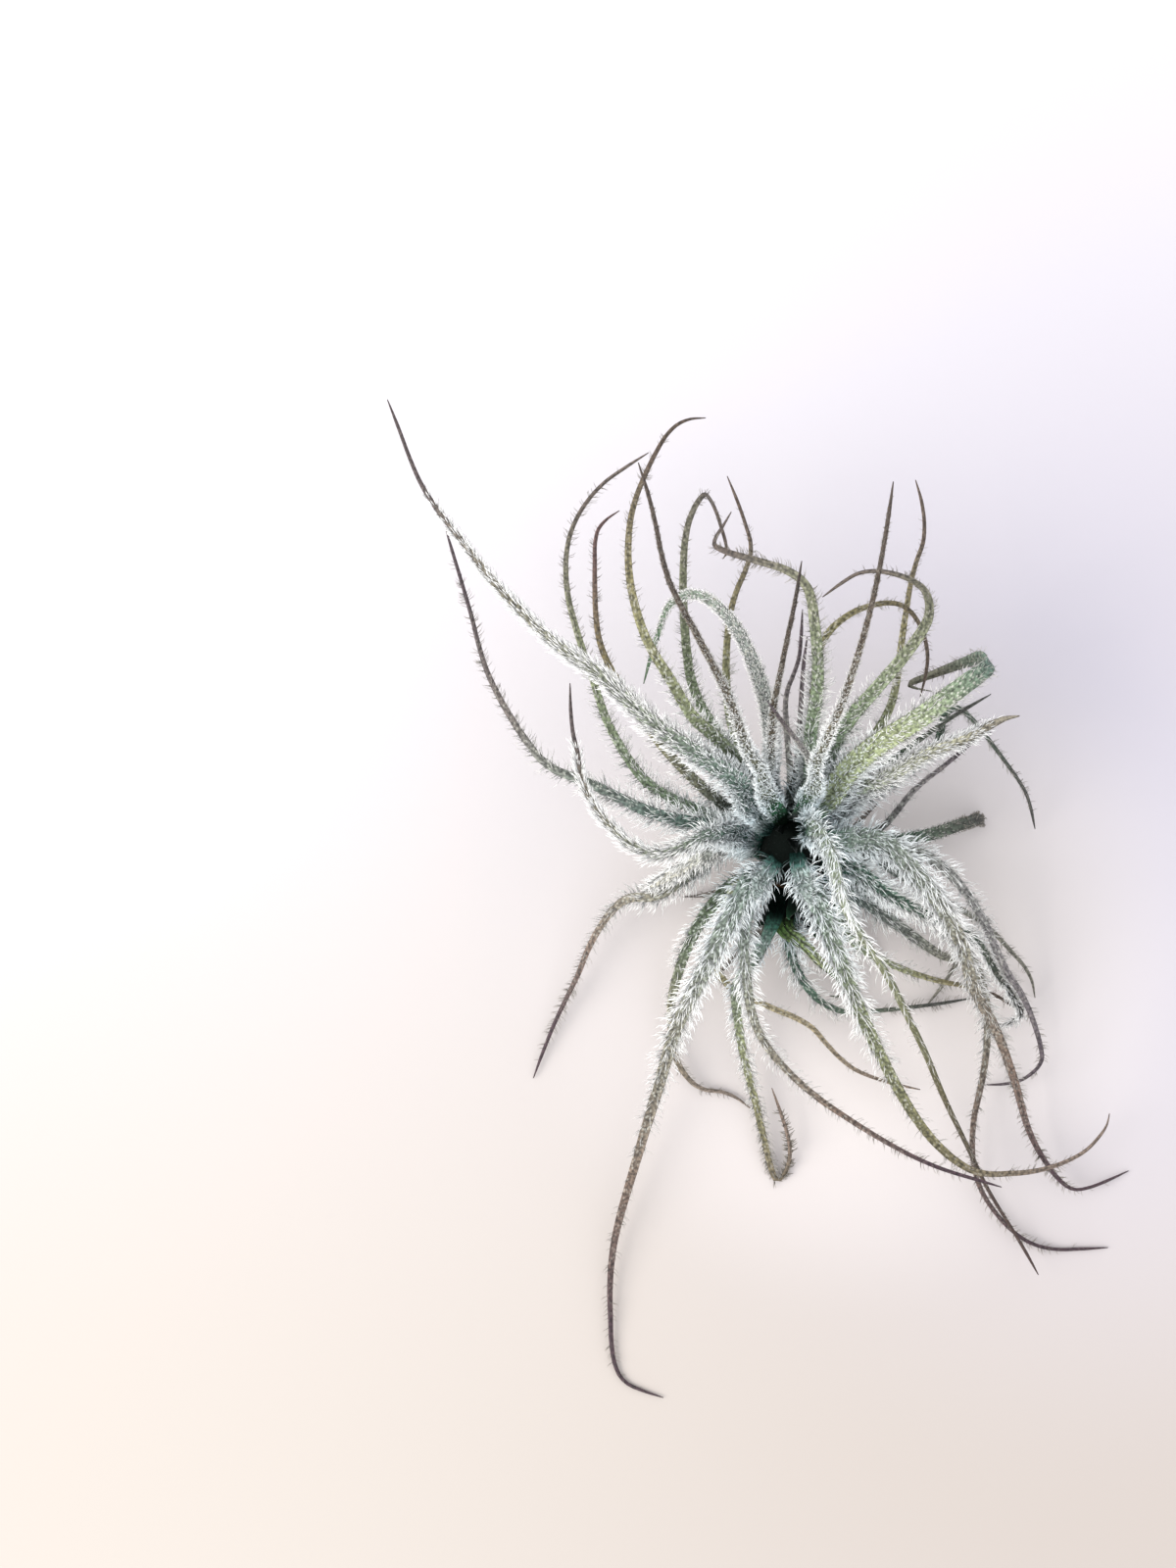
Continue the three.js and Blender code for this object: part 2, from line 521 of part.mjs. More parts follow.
// Pairs of segments that come near each other.
function nearPairs(leaves, range) {
  const pairs = [];
  const middle = new THREE.Vector3();
  const other = new THREE.Vector3();
  for (let a = 0; a < leaves.length; a += 1) {
    for (let b = a + 1; b < leaves.length; b += 1) {
      for (let i = 0; i < leaves[a].points.length - 1; i += 1) {
        middle.addVectors(leaves[a].points[i], leaves[a].points[i + 1]).multiplyScalar(0.5);
        for (let j = 0; j < leaves[b].points.length - 1; j += 1) {
          other.addVectors(leaves[b].points[j], leaves[b].points[j + 1]).multiplyScalar(0.5);
          if (middle.distanceToSquared(other) < range * range) pairs.push([leaves[a], i, leaves[b], j]);
        }
      }
    }
  }
  return pairs;
}

// Keeps a point of a leaf outside the stem and above the surface.
function keepClear(leaf, i) {
  const point = leaf.points[i];
  const frame = leaf.frames[i];
  const size = leaf.sizes[i];
  if (!leaf.seat.crown && leaf.give[i] > 0 && point.z < STEM_HEIGHT) {
    const axis = stemAxis(point.z);
    const away = new THREE.Vector3(point.x - axis.x, point.y - axis.y, 0);
    const need = stemRadius(point.z) + size.half + SEAT_GAP;
    if (away.length() < need) point.addScaledVector(away.clone().normalize(), need - away.length());
  }
  const floor = reachAlong(new THREE.Vector3(0, 0, 1), frame, size);
  point.z = Math.max(point.z, floor);
}

function bendClear(leaves) {
  let pairs = [];
  for (let round = 0; round < BEND_ROUNDS; round += 1) {
    if (round % LOOK_AGAIN === 0) pairs = nearPairs(leaves, NEAR);
    for (const leaf of leaves) leaf.shift = leaf.points.map(() => new THREE.Vector3());
    let meetings = 0;
    for (const [low, i, high, j] of pairs) meetings += partSegments(low, i, high, j) ? 1 : 0;
    for (const leaf of leaves) {
      const last = leaf.points.length - 1;
      const offsets = leaf.points.map((point, i) => point.clone().add(leaf.shift[i]).sub(leaf.home[i]));
      leaf.points.forEach((point, i) => {
        const before = offsets[Math.max(i - 1, 0)];
        const after = offsets[Math.min(i + 1, last)];
        const smooth = before.clone().add(after).multiplyScalar(0.5);
        const offset = offsets[i].clone().lerp(smooth, SMOOTH * leaf.give[i]);
        point.copy(leaf.home[i]).add(offset);
        keepClear(leaf, i);
      });
      orient(leaf);
    }
    if (meetings === 0) break;
  }
}

// ---- one leaf: its mesh ----

// The six corners of a cross-section: the upper face's margins and middle, then the lower face's.
function section(leaf, i) {
  const { up, side } = leaf.frames[i];
  const { half, thick } = leaf.sizes[i];
  const raised = CHANNEL * half * 2;
  const corner = (across, height) =>
    leaf.points[i].clone().addScaledVector(side, across).addScaledVector(up, height - raised / 2);
  return [
    corner(-half, raised + thick),
    corner(0, thick),
    corner(half, raised + thick),
    corner(half, raised - thick),
    corner(0, -thick),
    corner(-half, raised - thick),
  ];
}

function buildLeaf(leaf) {
  const corners = 6;
  const last = leaf.points.length - 1;
  const positions = [];
  for (let i = 0; i <= last; i += 1) {
    for (const corner of section(leaf, i)) positions.push(corner.x, corner.y, corner.z);
  }
  const faces = [];
  const quad = (a, b, c, d) => faces.push(a, b, c, a, c, d);
  for (let i = 0; i < last; i += 1) {
    for (let k = 0; k < corners; k += 1) {
      const here = i * corners + k;
      const beside = i * corners + ((k + 1) % corners);
      quad(here, beside, beside + corners, here + corners);
    }
  }
  const end = last * corners;
  quad(0, 5, 4, 1);
  quad(1, 4, 3, 2);
  quad(end + 1, end + 4, end + 5, end);
  quad(end + 2, end + 3, end + 4, end + 1);
  const geometry = new THREE.BufferGeometry();
  geometry.setAttribute("position", new THREE.Float32BufferAttribute(positions, 3));
  geometry.setIndex(faces);
  geometry.computeVertexNormals();
  const mesh = new THREE.Mesh(geometry, finish(leaf.kind));
  mesh.name = leaf.name;
  return mesh;
}

// ---- the plant ----

function named(kind, index) {
  return `${kind}_leaf_${String(index + 1).padStart(2, "0")}`;
}

function allLeaves() {
  const drawn = (kind, list) =>
    list.map((leaf, i) => makeLeaf({ ...leaf, name: named(kind, i), kind, points: leaf.route.map(placed) }));
  return [
    ...LOWER.map((leaf, i) =>
      makeLeaf({ name: named("lower", i), kind: "lower", width: LOWER_WIDTH, points: lowerRoute(leaf) })),
    ...SHORT.map((leaf, i) =>
      makeLeaf({
        name: named("short", i),
        kind: "short",
        width: SHORT_WIDTH,
        launch: SHORT_LAUNCH,
        points: shortRoute(leaf),
      })),
    ...drawn("outer", OUTER),
    ...drawn("middle", MIDDLE),
    ...drawn("inner", INNER),
    ...HEART.map((leaf, i) =>
      makeLeaf({
        name: named("heart", i),
        kind: "heart",
        width: HEART_WIDTH,
        crown: leaf.bearing,
        points: heartRoute(leaf),
      })),
  ];
}

const plant = new THREE.Group();
plant.add(buildStem());

const leaves = allLeaves();
const onTheSide = leaves.filter((leaf) => !leaf.seat.crown);
const long = onTheSide.filter((leaf) => leaf.kind !== "short");
long.forEach((leaf, i) => {
  leaf.seat.z = THREE.MathUtils.mapLinear(i, 0, long.length - 1, LOWEST_SEAT, HIGHEST_SEAT);
});
onTheSide.filter((leaf) => leaf.kind === "short").forEach((leaf, i) => {
  leaf.seat.z = SHORT[i].seat;
});
spreadSeats(onTheSide);
leaves.forEach(layOut);
bendClear(leaves);
for (const leaf of leaves) plant.add(buildLeaf(leaf));

export default plant;
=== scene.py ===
"""An air plant: a rosette of narrow, channelled, hairy leaves on a short leaning stem.

Every leaf of the frame is replaced by a finer blade that follows the same middle line, with a coat of fine
hairs as real geometry. Lengths are in metres, and the settings are written in millimetres.
"""

from __future__ import annotations

import logging
import math
from dataclasses import dataclass, field
from enum import Enum

import bmesh
import bpy
import numpy as np
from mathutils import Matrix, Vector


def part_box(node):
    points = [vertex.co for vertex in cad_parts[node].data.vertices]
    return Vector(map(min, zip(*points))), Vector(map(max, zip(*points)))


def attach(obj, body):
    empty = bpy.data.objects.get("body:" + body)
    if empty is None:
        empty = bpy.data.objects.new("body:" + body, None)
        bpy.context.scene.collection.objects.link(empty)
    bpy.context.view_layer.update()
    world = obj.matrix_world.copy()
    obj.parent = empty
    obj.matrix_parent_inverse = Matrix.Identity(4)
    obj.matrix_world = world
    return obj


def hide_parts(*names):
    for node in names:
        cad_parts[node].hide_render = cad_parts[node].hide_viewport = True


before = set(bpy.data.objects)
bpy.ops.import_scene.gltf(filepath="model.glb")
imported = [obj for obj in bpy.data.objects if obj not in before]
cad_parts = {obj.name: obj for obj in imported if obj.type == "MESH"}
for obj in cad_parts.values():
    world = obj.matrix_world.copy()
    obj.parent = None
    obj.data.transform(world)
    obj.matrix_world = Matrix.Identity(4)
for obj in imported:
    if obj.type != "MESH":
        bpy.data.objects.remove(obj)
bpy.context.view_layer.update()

log = logging.getLogger("air_plant")

MM = 0.001
ROOT = "root"  # the one body of a plant with no joints
CHANNEL = 0.17  # how far a blade's margins stand above its middle, as a share of its width
BLADE_DATA = "blade"  # a point's stage along the leaf, its leaf's tint and its share of the way to the margin
HAIR_DATA = "hair"  # the same stage at a hair's root, a random tint and the share of the way to its tip
BLADE_UV = "blade_mm"  # across and along the blade, in millimetres

Array = np.ndarray
Piece = bpy.types.Object
Socket = bpy.types.NodeSocket
Inputs = dict[int | str, object]


def linear(code: str) -> tuple[float, float, float, float]:
    """Turns an sRGB hex colour, such as "#a0b0c0", into linear light and an alpha of 1."""
    parts = [int(code[i : i + 2], 16) / 255 for i in (1, 3, 5)]
    curve = [c / 12.92 if c <= 0.04045 else ((c + 0.055) / 1.055) ** 2.4 for c in parts]
    return (curve[0], curve[1], curve[2], 1.0)


def add_node(tree: bpy.types.NodeTree, kind: str, inputs: Inputs | None = None,
             **settings: object) -> bpy.types.Node:
    """Adds one node.

    Args:
        tree: The material's node tree.
        kind: The node's class, such as "ShaderNodeMix".
        inputs: What each input gets, by index or name: a socket, a value or an sRGB hex colour.
        settings: The node's attributes.

    Returns:
        The new node.
    """
    node = tree.nodes.new(kind)
    for name, value in settings.items():
        setattr(node, name, value)
    for key, value in (inputs or {}).items():
        if isinstance(value, Socket):
            tree.links.new(value, node.inputs[key])
        else:
            node.inputs[key].default_value = linear(value) if isinstance(value, str) else value
    return node


def smoothstep(low: float, high: float, value: Array) -> Array:
    """Rises smoothly from 0 at low to 1 at high."""
    share = np.clip((value - low) / (high - low), 0.0, 1.0)
    return share * share * (3 - 2 * share)


def unit(vectors: Array) -> Array:
    """Scales each row to length 1."""
    return vectors / np.maximum(np.linalg.norm(vectors, axis=-1, keepdims=True), 1e-12)


def deselect() -> None:
    """Deselects every object, so that an operator acts on the new one alone."""
    bpy.ops.object.select_all(action="DESELECT")


def link(item: Piece) -> None:
    """Puts a new object into the scene."""
    bpy.context.scene.collection.objects.link(item)


def store(mesh: bpy.types.Mesh, name: str, values: Array) -> None:
    """Stores three numbers with each point of a mesh."""
    data = mesh.attributes.new(name, "FLOAT_VECTOR", "POINT")
    data.data.foreach_set("vector", values.ravel().astype(np.float32))


def settle(piece: Piece, slot: str, material: bpy.types.Material, *nodes: str) -> None:
    """Gives a finished piece its material and its body, and hides the nodes that it stands for."""
    piece.data.materials.clear()
    piece.data.materials.append(material)
    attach(piece, ROOT)
    if nodes:
        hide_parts(*nodes)
    log.info("%s: %d faces", piece.name, len(piece.data.polygons))


class Graph:
    """A new material's node tree, with a method for each step that the finishes share."""

    def __init__(self, name: str) -> None:
        """Starts an empty material of that name."""
        self.material = bpy.data.materials.new(name)
        self.material.use_nodes = True
        self.tree = self.material.node_tree
        self.tree.nodes.clear()

    def add(self, kind: str, inputs: Inputs | None = None, **settings: object) -> bpy.types.Node:
        """Adds one node, with the arguments of add_node."""
        return add_node(self.tree, kind, inputs, **settings)

    def parts(self, vector: Socket) -> list[Socket]:
        """Splits a vector into its three parts."""
        return list(self.add("ShaderNodeSeparateXYZ", {0: vector}).outputs)

    def attribute(self, name: str) -> list[Socket]:
        """Reads the three parts of a point's attribute."""
        return self.parts(self.add("ShaderNodeAttribute", attribute_name=name).outputs["Vector"])

    def ramp(self, value: Socket, *stops: tuple[float, str]) -> Socket:
        """Turns a value into a colour, by each stop's place and sRGB colour in order."""
        node = self.add("ShaderNodeValToRGB", {0: value})
        elements = node.color_ramp.elements
        elements[0].position, elements[1].position = stops[0][0], stops[-1][0]
        elements[0].color, elements[1].color = linear(stops[0][1]), linear(stops[-1][1])
        for position, code in stops[1:-1]:
            elements.new(position).color = linear(code)
        return node.outputs[0]

    def spread(self, value: Socket, low: float, high: float, start: float = 0.0, end: float = 1.0,
               kind: str = "LINEAR") -> Socket:
        """Maps the values from low to high to those from start to end."""
        return self.add("ShaderNodeMapRange", {0: value, 1: low, 2: high, 3: start, 4: end},
                        interpolation_type=kind).outputs[0]

    def rise(self, value: Socket, low: float, high: float) -> Socket:
        """Rises smoothly from 0 at low to 1 at high."""
        return self.spread(value, low, high, kind="SMOOTHSTEP")

    def product(self, first: Socket, second: Socket | float, clamp: bool = False) -> Socket:
        """Multiplies two values."""
        node = self.add("ShaderNodeMath", {0: first, 1: second}, operation="MULTIPLY", use_clamp=clamp)
        return node.outputs[0]

    def dimmed(self, colour: Socket, shade: Socket) -> Socket:
        """Multiplies a colour by a value."""
        return self.add("ShaderNodeVectorMath", {0: colour, "Scale": shade}, operation="SCALE").outputs[0]

    def mix(self, share: Socket, first: Socket | str, second: Socket | str) -> Socket:
        """Mixes two colours, by the share of the second."""
        return self.add("ShaderNodeMix", {0: share, 6: first, 7: second}, data_type="RGBA").outputs[2]

    def scaled(self, place: Socket, scale: tuple[float, float, float]) -> Socket:
        """Scales the coordinates that a pattern is read in."""
        return self.add("ShaderNodeMapping", {"Vector": place, "Scale": scale}).outputs[0]

    def noise(self, place: Socket, scale: float, detail: float, rough: float = 0.5) -> Socket:
        """Reads a noise pattern."""
        inputs = {"Vector": place, "Scale": scale, "Detail": detail, "Roughness": rough}
        return self.add("ShaderNodeTexNoise", inputs).outputs[0]

    def bump(self, height: Socket, strength: float, depth_mm: float) -> Socket:
        """Turns a height into a relief."""
        inputs = {"Height": height, "Strength": strength, "Distance": depth_mm * MM}
        return self.add("ShaderNodeBump", inputs).outputs[0]

    def surface(self, colour: Socket, rough: Socket | float, gloss: Socket | float,
                relief: Socket | None = None) -> Socket:
        """Adds an opaque surface's shader."""
        inputs = {"Base Color": colour, "Roughness": rough, "Specular IOR Level": gloss}
        if relief:
            inputs["Normal"] = relief
        return self.add("ShaderNodeBsdfPrincipled", inputs).outputs[0]

    def close(self, shader: Socket) -> bpy.types.Material:
        """Ends the tree with its shader, and returns the material."""
        self.add("ShaderNodeOutputMaterial", {0: shader})
        return self.material


@dataclass(frozen=True)
class LeafFinish:
    """Leaf tissue under silver scales: matt, greenest where the scales are thin, dark and bare at the tip,
    and near black at the base with painted shade of the rosette's heart.
    """

    colours: str  # of the sheath, near black with painted shade, the throat, its own dark green deepened with painted shade, the silvered part, the middle, the late part and the tip
    scales: float = 0.5  # how much silver the scales lay over the tissue
    stripes: float = 0.12  # how much the lengthwise veins show

    STAGES = (0.0, 0.08, 0.22, 0.45, 0.68, 0.87)  # where these colours stand
    SCALE_MM = 0.58  # real ones are a third of this and would not show
    SCALE_STRETCH = 0.7
    SCALE_EDGES = (0.22, 0.45)  # from its middle, where its cover falls
    SCALE_TONES = ((0.2, "#c4d0cc"), (0.45, "#c4cac0"), (0.75, "#b0aa9e"))
    # How much of the scales there is along the leaf.
    WEAR = ((0.0, "#000000"), (0.1, "#3a3a3a"), (0.25, "#ffffff"), (0.6, "#e0e0e0"), (0.88, "#606060"))
    VEIN_MM = 0.75  # from one vein to the next
    VEIN_STRETCH = 0.02
    CHANNEL_SHADE = (0.54, 0.76)  # in the channel and at the margins
    GRAIN_SHADE = (0.36, 1.6)  # of its darkest and lightest spots
    PATCH_COVER = (0.35, 1.3)  # of the scales, in thin and dense patches
    ROUGH = (0.55, 0.85)  # of bare tissue and of scales
    GLOSS = (0.03, 0.3)  # of the shaded base and of the rest

    def material(self, name: str) -> bpy.types.Material:
        """Builds the tissue with its colours along the leaf, its veins and its silver scales."""
        graph = Graph(name)
        stage, tint, margin = graph.attribute(BLADE_DATA)
        # The first stages make the base near black: painted shade of the rosette's heart.
        tissue = graph.ramp(stage, *zip(self.STAGES, self.colours.split()))
        place = graph.add("ShaderNodeUVMap", uv_map=BLADE_UV).outputs[0]
        # Veins: lines along the leaf, so the pattern hardly changes lengthwise.
        veins = graph.noise(graph.scaled(place, (1 / self.VEIN_MM, self.VEIN_STRETCH, 1.0)), 2.0, 1.0)
        vein_tone = graph.spread(veins, 0.38, 0.62, 1.0 - self.stripes * 2, 1.0 + self.stripes)
        # Scales: small flakes, a little longer than they are wide, in denser and thinner patches.
        flakes = graph.scaled(place, (1 / self.SCALE_MM, self.SCALE_STRETCH / self.SCALE_MM, 1.0))
        flakes = graph.add("ShaderNodeTexVoronoi", {"Vector": flakes, "Scale": 1.0, "Randomness": 1.0})
        flake_tone = graph.spread(flakes.outputs["Distance"], *self.SCALE_EDGES, 1.0, 0.0)
        patches = graph.spread(graph.noise(place, 0.9, 3.0, 0.7), 0.36, 0.6, *self.PATCH_COVER)
        cover = graph.product(graph.product(flake_tone, patches), graph.ramp(stage, *self.WEAR))
        cover = graph.product(cover, self.scales, clamp=True)
        # The channel holds shade, and each leaf is a little lighter or darker than the next.
        shade = graph.product(vein_tone, graph.spread(margin, 0.1, 0.9, *self.CHANNEL_SHADE))
        shade = graph.product(shade, tint)
        grain = graph.spread(graph.noise(place, 1.5, 3.0), 0.35, 0.65, *self.GRAIN_SHADE)
        shade = graph.product(shade, grain)
        colour = graph.mix(cover, graph.dimmed(tissue, shade), graph.ramp(stage, *self.SCALE_TONES))
        relief = graph.add("ShaderNodeMath", {0: veins, 1: flake_tone}, operation="ADD").outputs[0]
        return graph.close(graph.surface(
            colour, graph.spread(cover, 0.0, 1.0, *self.ROUGH), graph.spread(stage, 0.0, 0.2, *self.GLOSS),
            graph.bump(relief, 0.35, 0.12)))


@dataclass(frozen=True)
class HairFinish:
    """Leaf hairs: dry wings of cell wall, so pale that they look white, cooler by the crown, and dark at the
    base with painted shade of the rosette's heart.
    """

    colours: str = "#2c4a45 #eaf5f8 #fbfcfa #8f8a80"  # at the base, dark with painted shade, by the crown, in the middle and late
    clear: float = 0.35  # the share of light that passes through

    STAGES = (0.0, 0.09, 0.42, 0.8)
    ROOT_SHADE = 0.7  # how light a root is beside the free end

    def material(self, name: str) -> bpy.types.Material:
        """Builds the pale hair with its cast along the leaf."""
        graph = Graph(name)
        stage, tint, reach = graph.attribute(HAIR_DATA)
        cast = graph.ramp(stage, *zip(self.STAGES, self.colours.split()))
        colour = graph.dimmed(cast, graph.product(graph.spread(reach, 0.0, 0.5, self.ROOT_SHADE, 1.0), tint))
        wall = graph.surface(colour, 0.5, 0.4)
        glow = graph.add("ShaderNodeBsdfTranslucent", {0: colour}).outputs[0]
        return graph.close(graph.add("ShaderNodeMixShader", {0: self.clear, 1: wall, 2: glow}).outputs[0])


@dataclass(frozen=True)
class BarkFinish:
    """Dry stem tissue: fibrous, matt and brown, and nearly black in the rosette's shade."""

    dark: str = "#1d130c"
    pale: str = "#5a4227"
    shade: str = "#010503"

    FIBRE_MM = 0.5
    FIBRE_STRETCH = 6  # how much longer than wide the fibres are
    SHADE_FROM_MM = 15.0  # the height at which the rosette's shade starts
    SHADE_RISE_MM = 6  # and how much higher it is full

    def material(self, name: str) -> bpy.types.Material:
        """Builds the fibrous dry tissue, read in object coordinates and stretched upwards."""
        graph = Graph(name)
        place = graph.add("ShaderNodeTexCoord").outputs["Object"]
        fine = 1 / (self.FIBRE_MM * MM)
        fibres = graph.noise(graph.scaled(place, (fine, fine, fine / self.FIBRE_STRETCH)), 1.0, 4.0)
        bark = graph.ramp(fibres, (0.3, self.dark), (0.72, self.pale))
        shaded = graph.spread(graph.parts(place)[2], self.SHADE_FROM_MM * MM,
                              (self.SHADE_FROM_MM + self.SHADE_RISE_MM) * MM)
        colour = graph.mix(shaded, bark, self.shade)
        return graph.close(graph.surface(colour, 0.9, 0.08, graph.bump(fibres, 0.6, 0.3)))


class Tone(Enum):
    """The finish that a leaf takes, from the silver ones in the rosette to the dry ones under it."""

    SILVER_BLUE = LeafFinish("#020a08 #1b4a3e #4f746b #6c7c72 #6b645e #463b3e", 0.5)
    STRAW_TIPPED = LeafFinish("#030d09 #24483c #8a9c8e #adb49f #b0b096 #7c7667", 0.6, 0.35)
    FROSTED = LeafFinish("#0b201c #33594f #6d9084 #828c7a #6f6c5c #4c4240", 0.6)
    TUFTED = LeafFinish("#0b201c #4a736b #a0b0aa #c2c8c0 #d6d6ca #dcdacb", 0.9)
    GREY_SILVER = LeafFinish("#030d09 #2a4a42 #5f736d #7c847c #828275 #7c7a6e", 0.55)
    SAGE = LeafFinish("#030d09 #1f5040 #769280 #829474 #787c62 #625850", 0.7)
    OLIVE = LeafFinish("#050f08 #27523a #768874 #848e6b #847e5a #5e5044", 0.6)
    GREEN = LeafFinish("#020c08 #123e2e #33594a #44604e #4e5a4a #444640", 0.5)
    MOSS = LeafFinish("#030d09 #1f4030 #4c5f45 #5a6650 #77705c #7a6e62", 0.4)
    YELLOW_GREEN = LeafFinish("#04130c #3f6b52 #939f7c #969f78 #5b7265 #626253", 0.8)
    STRIPED = LeafFinish("#020704 #456230 #849860 #8c9469 #6f8564 #5a6450", 0.3, 0.45)
    GREY_BROWN = LeafFinish("#08100c #35493e #7b857c #868682 #757070 #51474c", 0.6)
    DARK_OLIVE = LeafFinish("#030d09 #2a5446 #7d8c7c #757b57 #514c2d #3f302a", 0.5)
    PURPLE_TIPPED = LeafFinish("#030d09 #2a5446 #6f8278 #807f70 #6d5d51 #3e2d33", 0.5)
    OLIVE_SILVER = LeafFinish("#030d09 #2a5446 #6f8278 #7a8160 #6d684a #75665a", 0.6)
    MUSTARD = LeafFinish("#08100c #35493e #6a726e #77775f #7d7450 #634d48", 0.4)
    STRAW = LeafFinish("#030d09 #2a5446 #7c8468 #928c6e #8b8066 #7b6e60", 0.4)
    SAGE_GREEN = LeafFinish("#030d09 #1f5040 #8c988a #989e98 #8a928a #5c765a", 0.8)
    BEADED = LeafFinish("#050f08 #27523a #67705c #5c5444 #4e4438 #443a32", 0.5)
    DRY = LeafFinish("#0e0c0a #3c3a33 #625e56 #675f58 #5e564e #484039", 0.3)
    SHADED = LeafFinish("#010403 #020a07 #04110b #081a13 #12341f #1d4a2c", 0.0)


def hermite(knots: Array, values: Array, at: Array) -> Array:
    """Reads a smooth curve through given values.

    Args:
        knots: Where the values lie, rising.
        values: One row for each knot.
        at: Where to read the curve.

    Returns:
        One row for each place.
    """
    slopes = np.gradient(values, knots, axis=0)
    index = np.clip(np.searchsorted(knots, at, side="right") - 1, 0, len(knots) - 2)
    span = knots[index + 1] - knots[index]
    t = (at - knots[index]) / span
    shape = (-1,) + (1,) * (values.ndim - 1)
    t, span = t.reshape(shape), span.reshape(shape)
    start, end = values[index], values[index + 1]
    rise, fall = slopes[index] * span, slopes[index + 1] * span
    return ((2 * t**3 - 3 * t**2 + 1) * start + (t**3 - 2 * t**2 + t) * rise
            + (3 * t**2 - 2 * t**3) * end + (t**3 - t**2) * fall)


@dataclass
class Stretch:
    """A leaf read at several places: middle points, directions, half widths and half thicknesses."""

    middle: Array
    along: Array
    up: Array
    side: Array
    half: Array
    thick: Array


@dataclass
class MiddleLine:
    """The line that a leaf follows, read from the rings of its faceted node."""

    rings: Array
    knots: Array = field(init=False)
    middles: Array = field(init=False)
    ups: Array = field(init=False)
    halves: Array = field(init=False)
    thicks: Array = field(init=False)

    MERGE_MM = 1e-3  # points nearer than this are one
    THINNEST_MM = 0.25
    NEARBY_MM = 0.05  # how far ahead and behind the line is read for its direction
    INNER_NEIGHBOURS = 6  # a point with fewer neighbours is a corner of an end ring

    def __post_init__(self) -> None:
        """Finds each ring's middle, upper direction, width and thickness."""
        self.middles = self.rings.mean(axis=1)
        steps = np.linalg.norm(np.diff(self.middles, axis=0), axis=1)
        self.knots = np.concatenate([[0.0], np.cumsum(steps)])
        along = unit(np.gradient(self.middles, self.knots, axis=0))
        # At the base, the channel opens from the two middle corners to the four margin corners.
        up = unit(self.rings[0][:4].mean(axis=0) - self.rings[0][4:].mean(axis=0))
        ups = []
        for direction in along:
            up = unit(up - direction * float(up @ direction))
            ups.append(up)
        self.ups = np.array(ups)
        sides = np.cross(along, self.ups)
        spread = self.rings - self.middles[:, None]
        self.halves = np.abs(np.einsum("rkc,rc->rk", spread, sides)).max(axis=1)
        heights = np.einsum("rkc,rc->rk", spread, self.ups)
        rise = heights.max(axis=1) - heights.min(axis=1)
        self.thicks = np.maximum((rise - 2 * CHANNEL * self.halves) / 2, self.THINNEST_MM * MM)

    @property
    def length(self) -> float:
        """The leaf's length along its middle."""
        return float(self.knots[-1])

    @classmethod
    def of_node(cls, name: str) -> MiddleLine:
        """Reads a leaf's rings from its node of that name."""
        points, beside = cls.graph(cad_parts[name])
        ends = [i for i, near in enumerate(beside) if len(near) < cls.INNER_NEIGHBOURS]
        first = sorted(set(ends) & set(cls.steps_from(beside, {ends[0]}, 3)))
        groups = [first, sorted(set(ends) - set(first))]
        corners = max(groups, key=lambda group: float(np.ptp(points[group], axis=0).max()))
        middle = [i for i in range(len(points)) if i not in corners and len(beside[i] & set(corners)) >= 3]
        level = cls.steps_from(beside, set(corners) | set(middle), len(points))
        rings = [[i for i in level if level[i] == k] for k in range(max(level.values()) + 1)]
        rings[0] = corners + middle
        return cls(points[np.array(rings)])

    @classmethod
    def graph(cls, piece: Piece) -> tuple[Array, list[set[int]]]:
        """Merges a node's loose triangles into points, with each point's neighbours."""
        work = bmesh.new()
        work.from_mesh(piece.data)
        bmesh.ops.remove_doubles(work, verts=work.verts, dist=cls.MERGE_MM * MM)
        points = np.array([v.co[:] for v in work.verts])
        work.verts.index_update()
        beside = [{e.other_vert(v).index for e in v.link_edges} for v in work.verts]
        work.free()
        return points, beside

    @staticmethod
    def steps_from(beside: list[set[int]], start: set[int], most: int) -> dict[int, int]:
        """Counts the steps from the start points to the others, up to the most."""
        level = {i: 0 for i in start}
        edge = set(start)
        for step in range(1, most + 1):
            edge = {j for i in edge for j in beside[i] if j not in level}
            if not edge:
                break
            level.update({j: step for j in edge})
        return level

    def read(self, place: Array) -> Stretch:
        """Reads the leaf at lengths from its base, which may start a little before it."""
        inside = np.clip(place, 0.0, self.length)
        middle = hermite(self.knots, self.middles, inside)
        nearby = self.NEARBY_MM * MM
        ahead, behind = (hermite(self.knots, self.middles, np.clip(inside + step, 0, self.length))
                         for step in (nearby, -nearby))
        along = unit(ahead - behind)
        up = hermite(self.knots, self.ups, inside)
        up = unit(up - along * np.sum(up * along, axis=1, keepdims=True))
        half = hermite(self.knots, self.halves, inside)
        thick = hermite(self.knots, self.thicks, inside)
        middle = middle + along * (place - inside)[:, None]
        return Stretch(middle, along, up, np.cross(along, up), half, thick)


def frame_stem_lean() -> Array:
    """How far the stem leans for each metre of height, from its node's top."""
    _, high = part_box("stem")
    top = [v.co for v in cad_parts["stem"].data.vertices if v.co.z > high.z - 0.1 * MM]
    return np.array([sum(v.x for v in top), sum(v.y for v in top)]) / len(top) / high.z


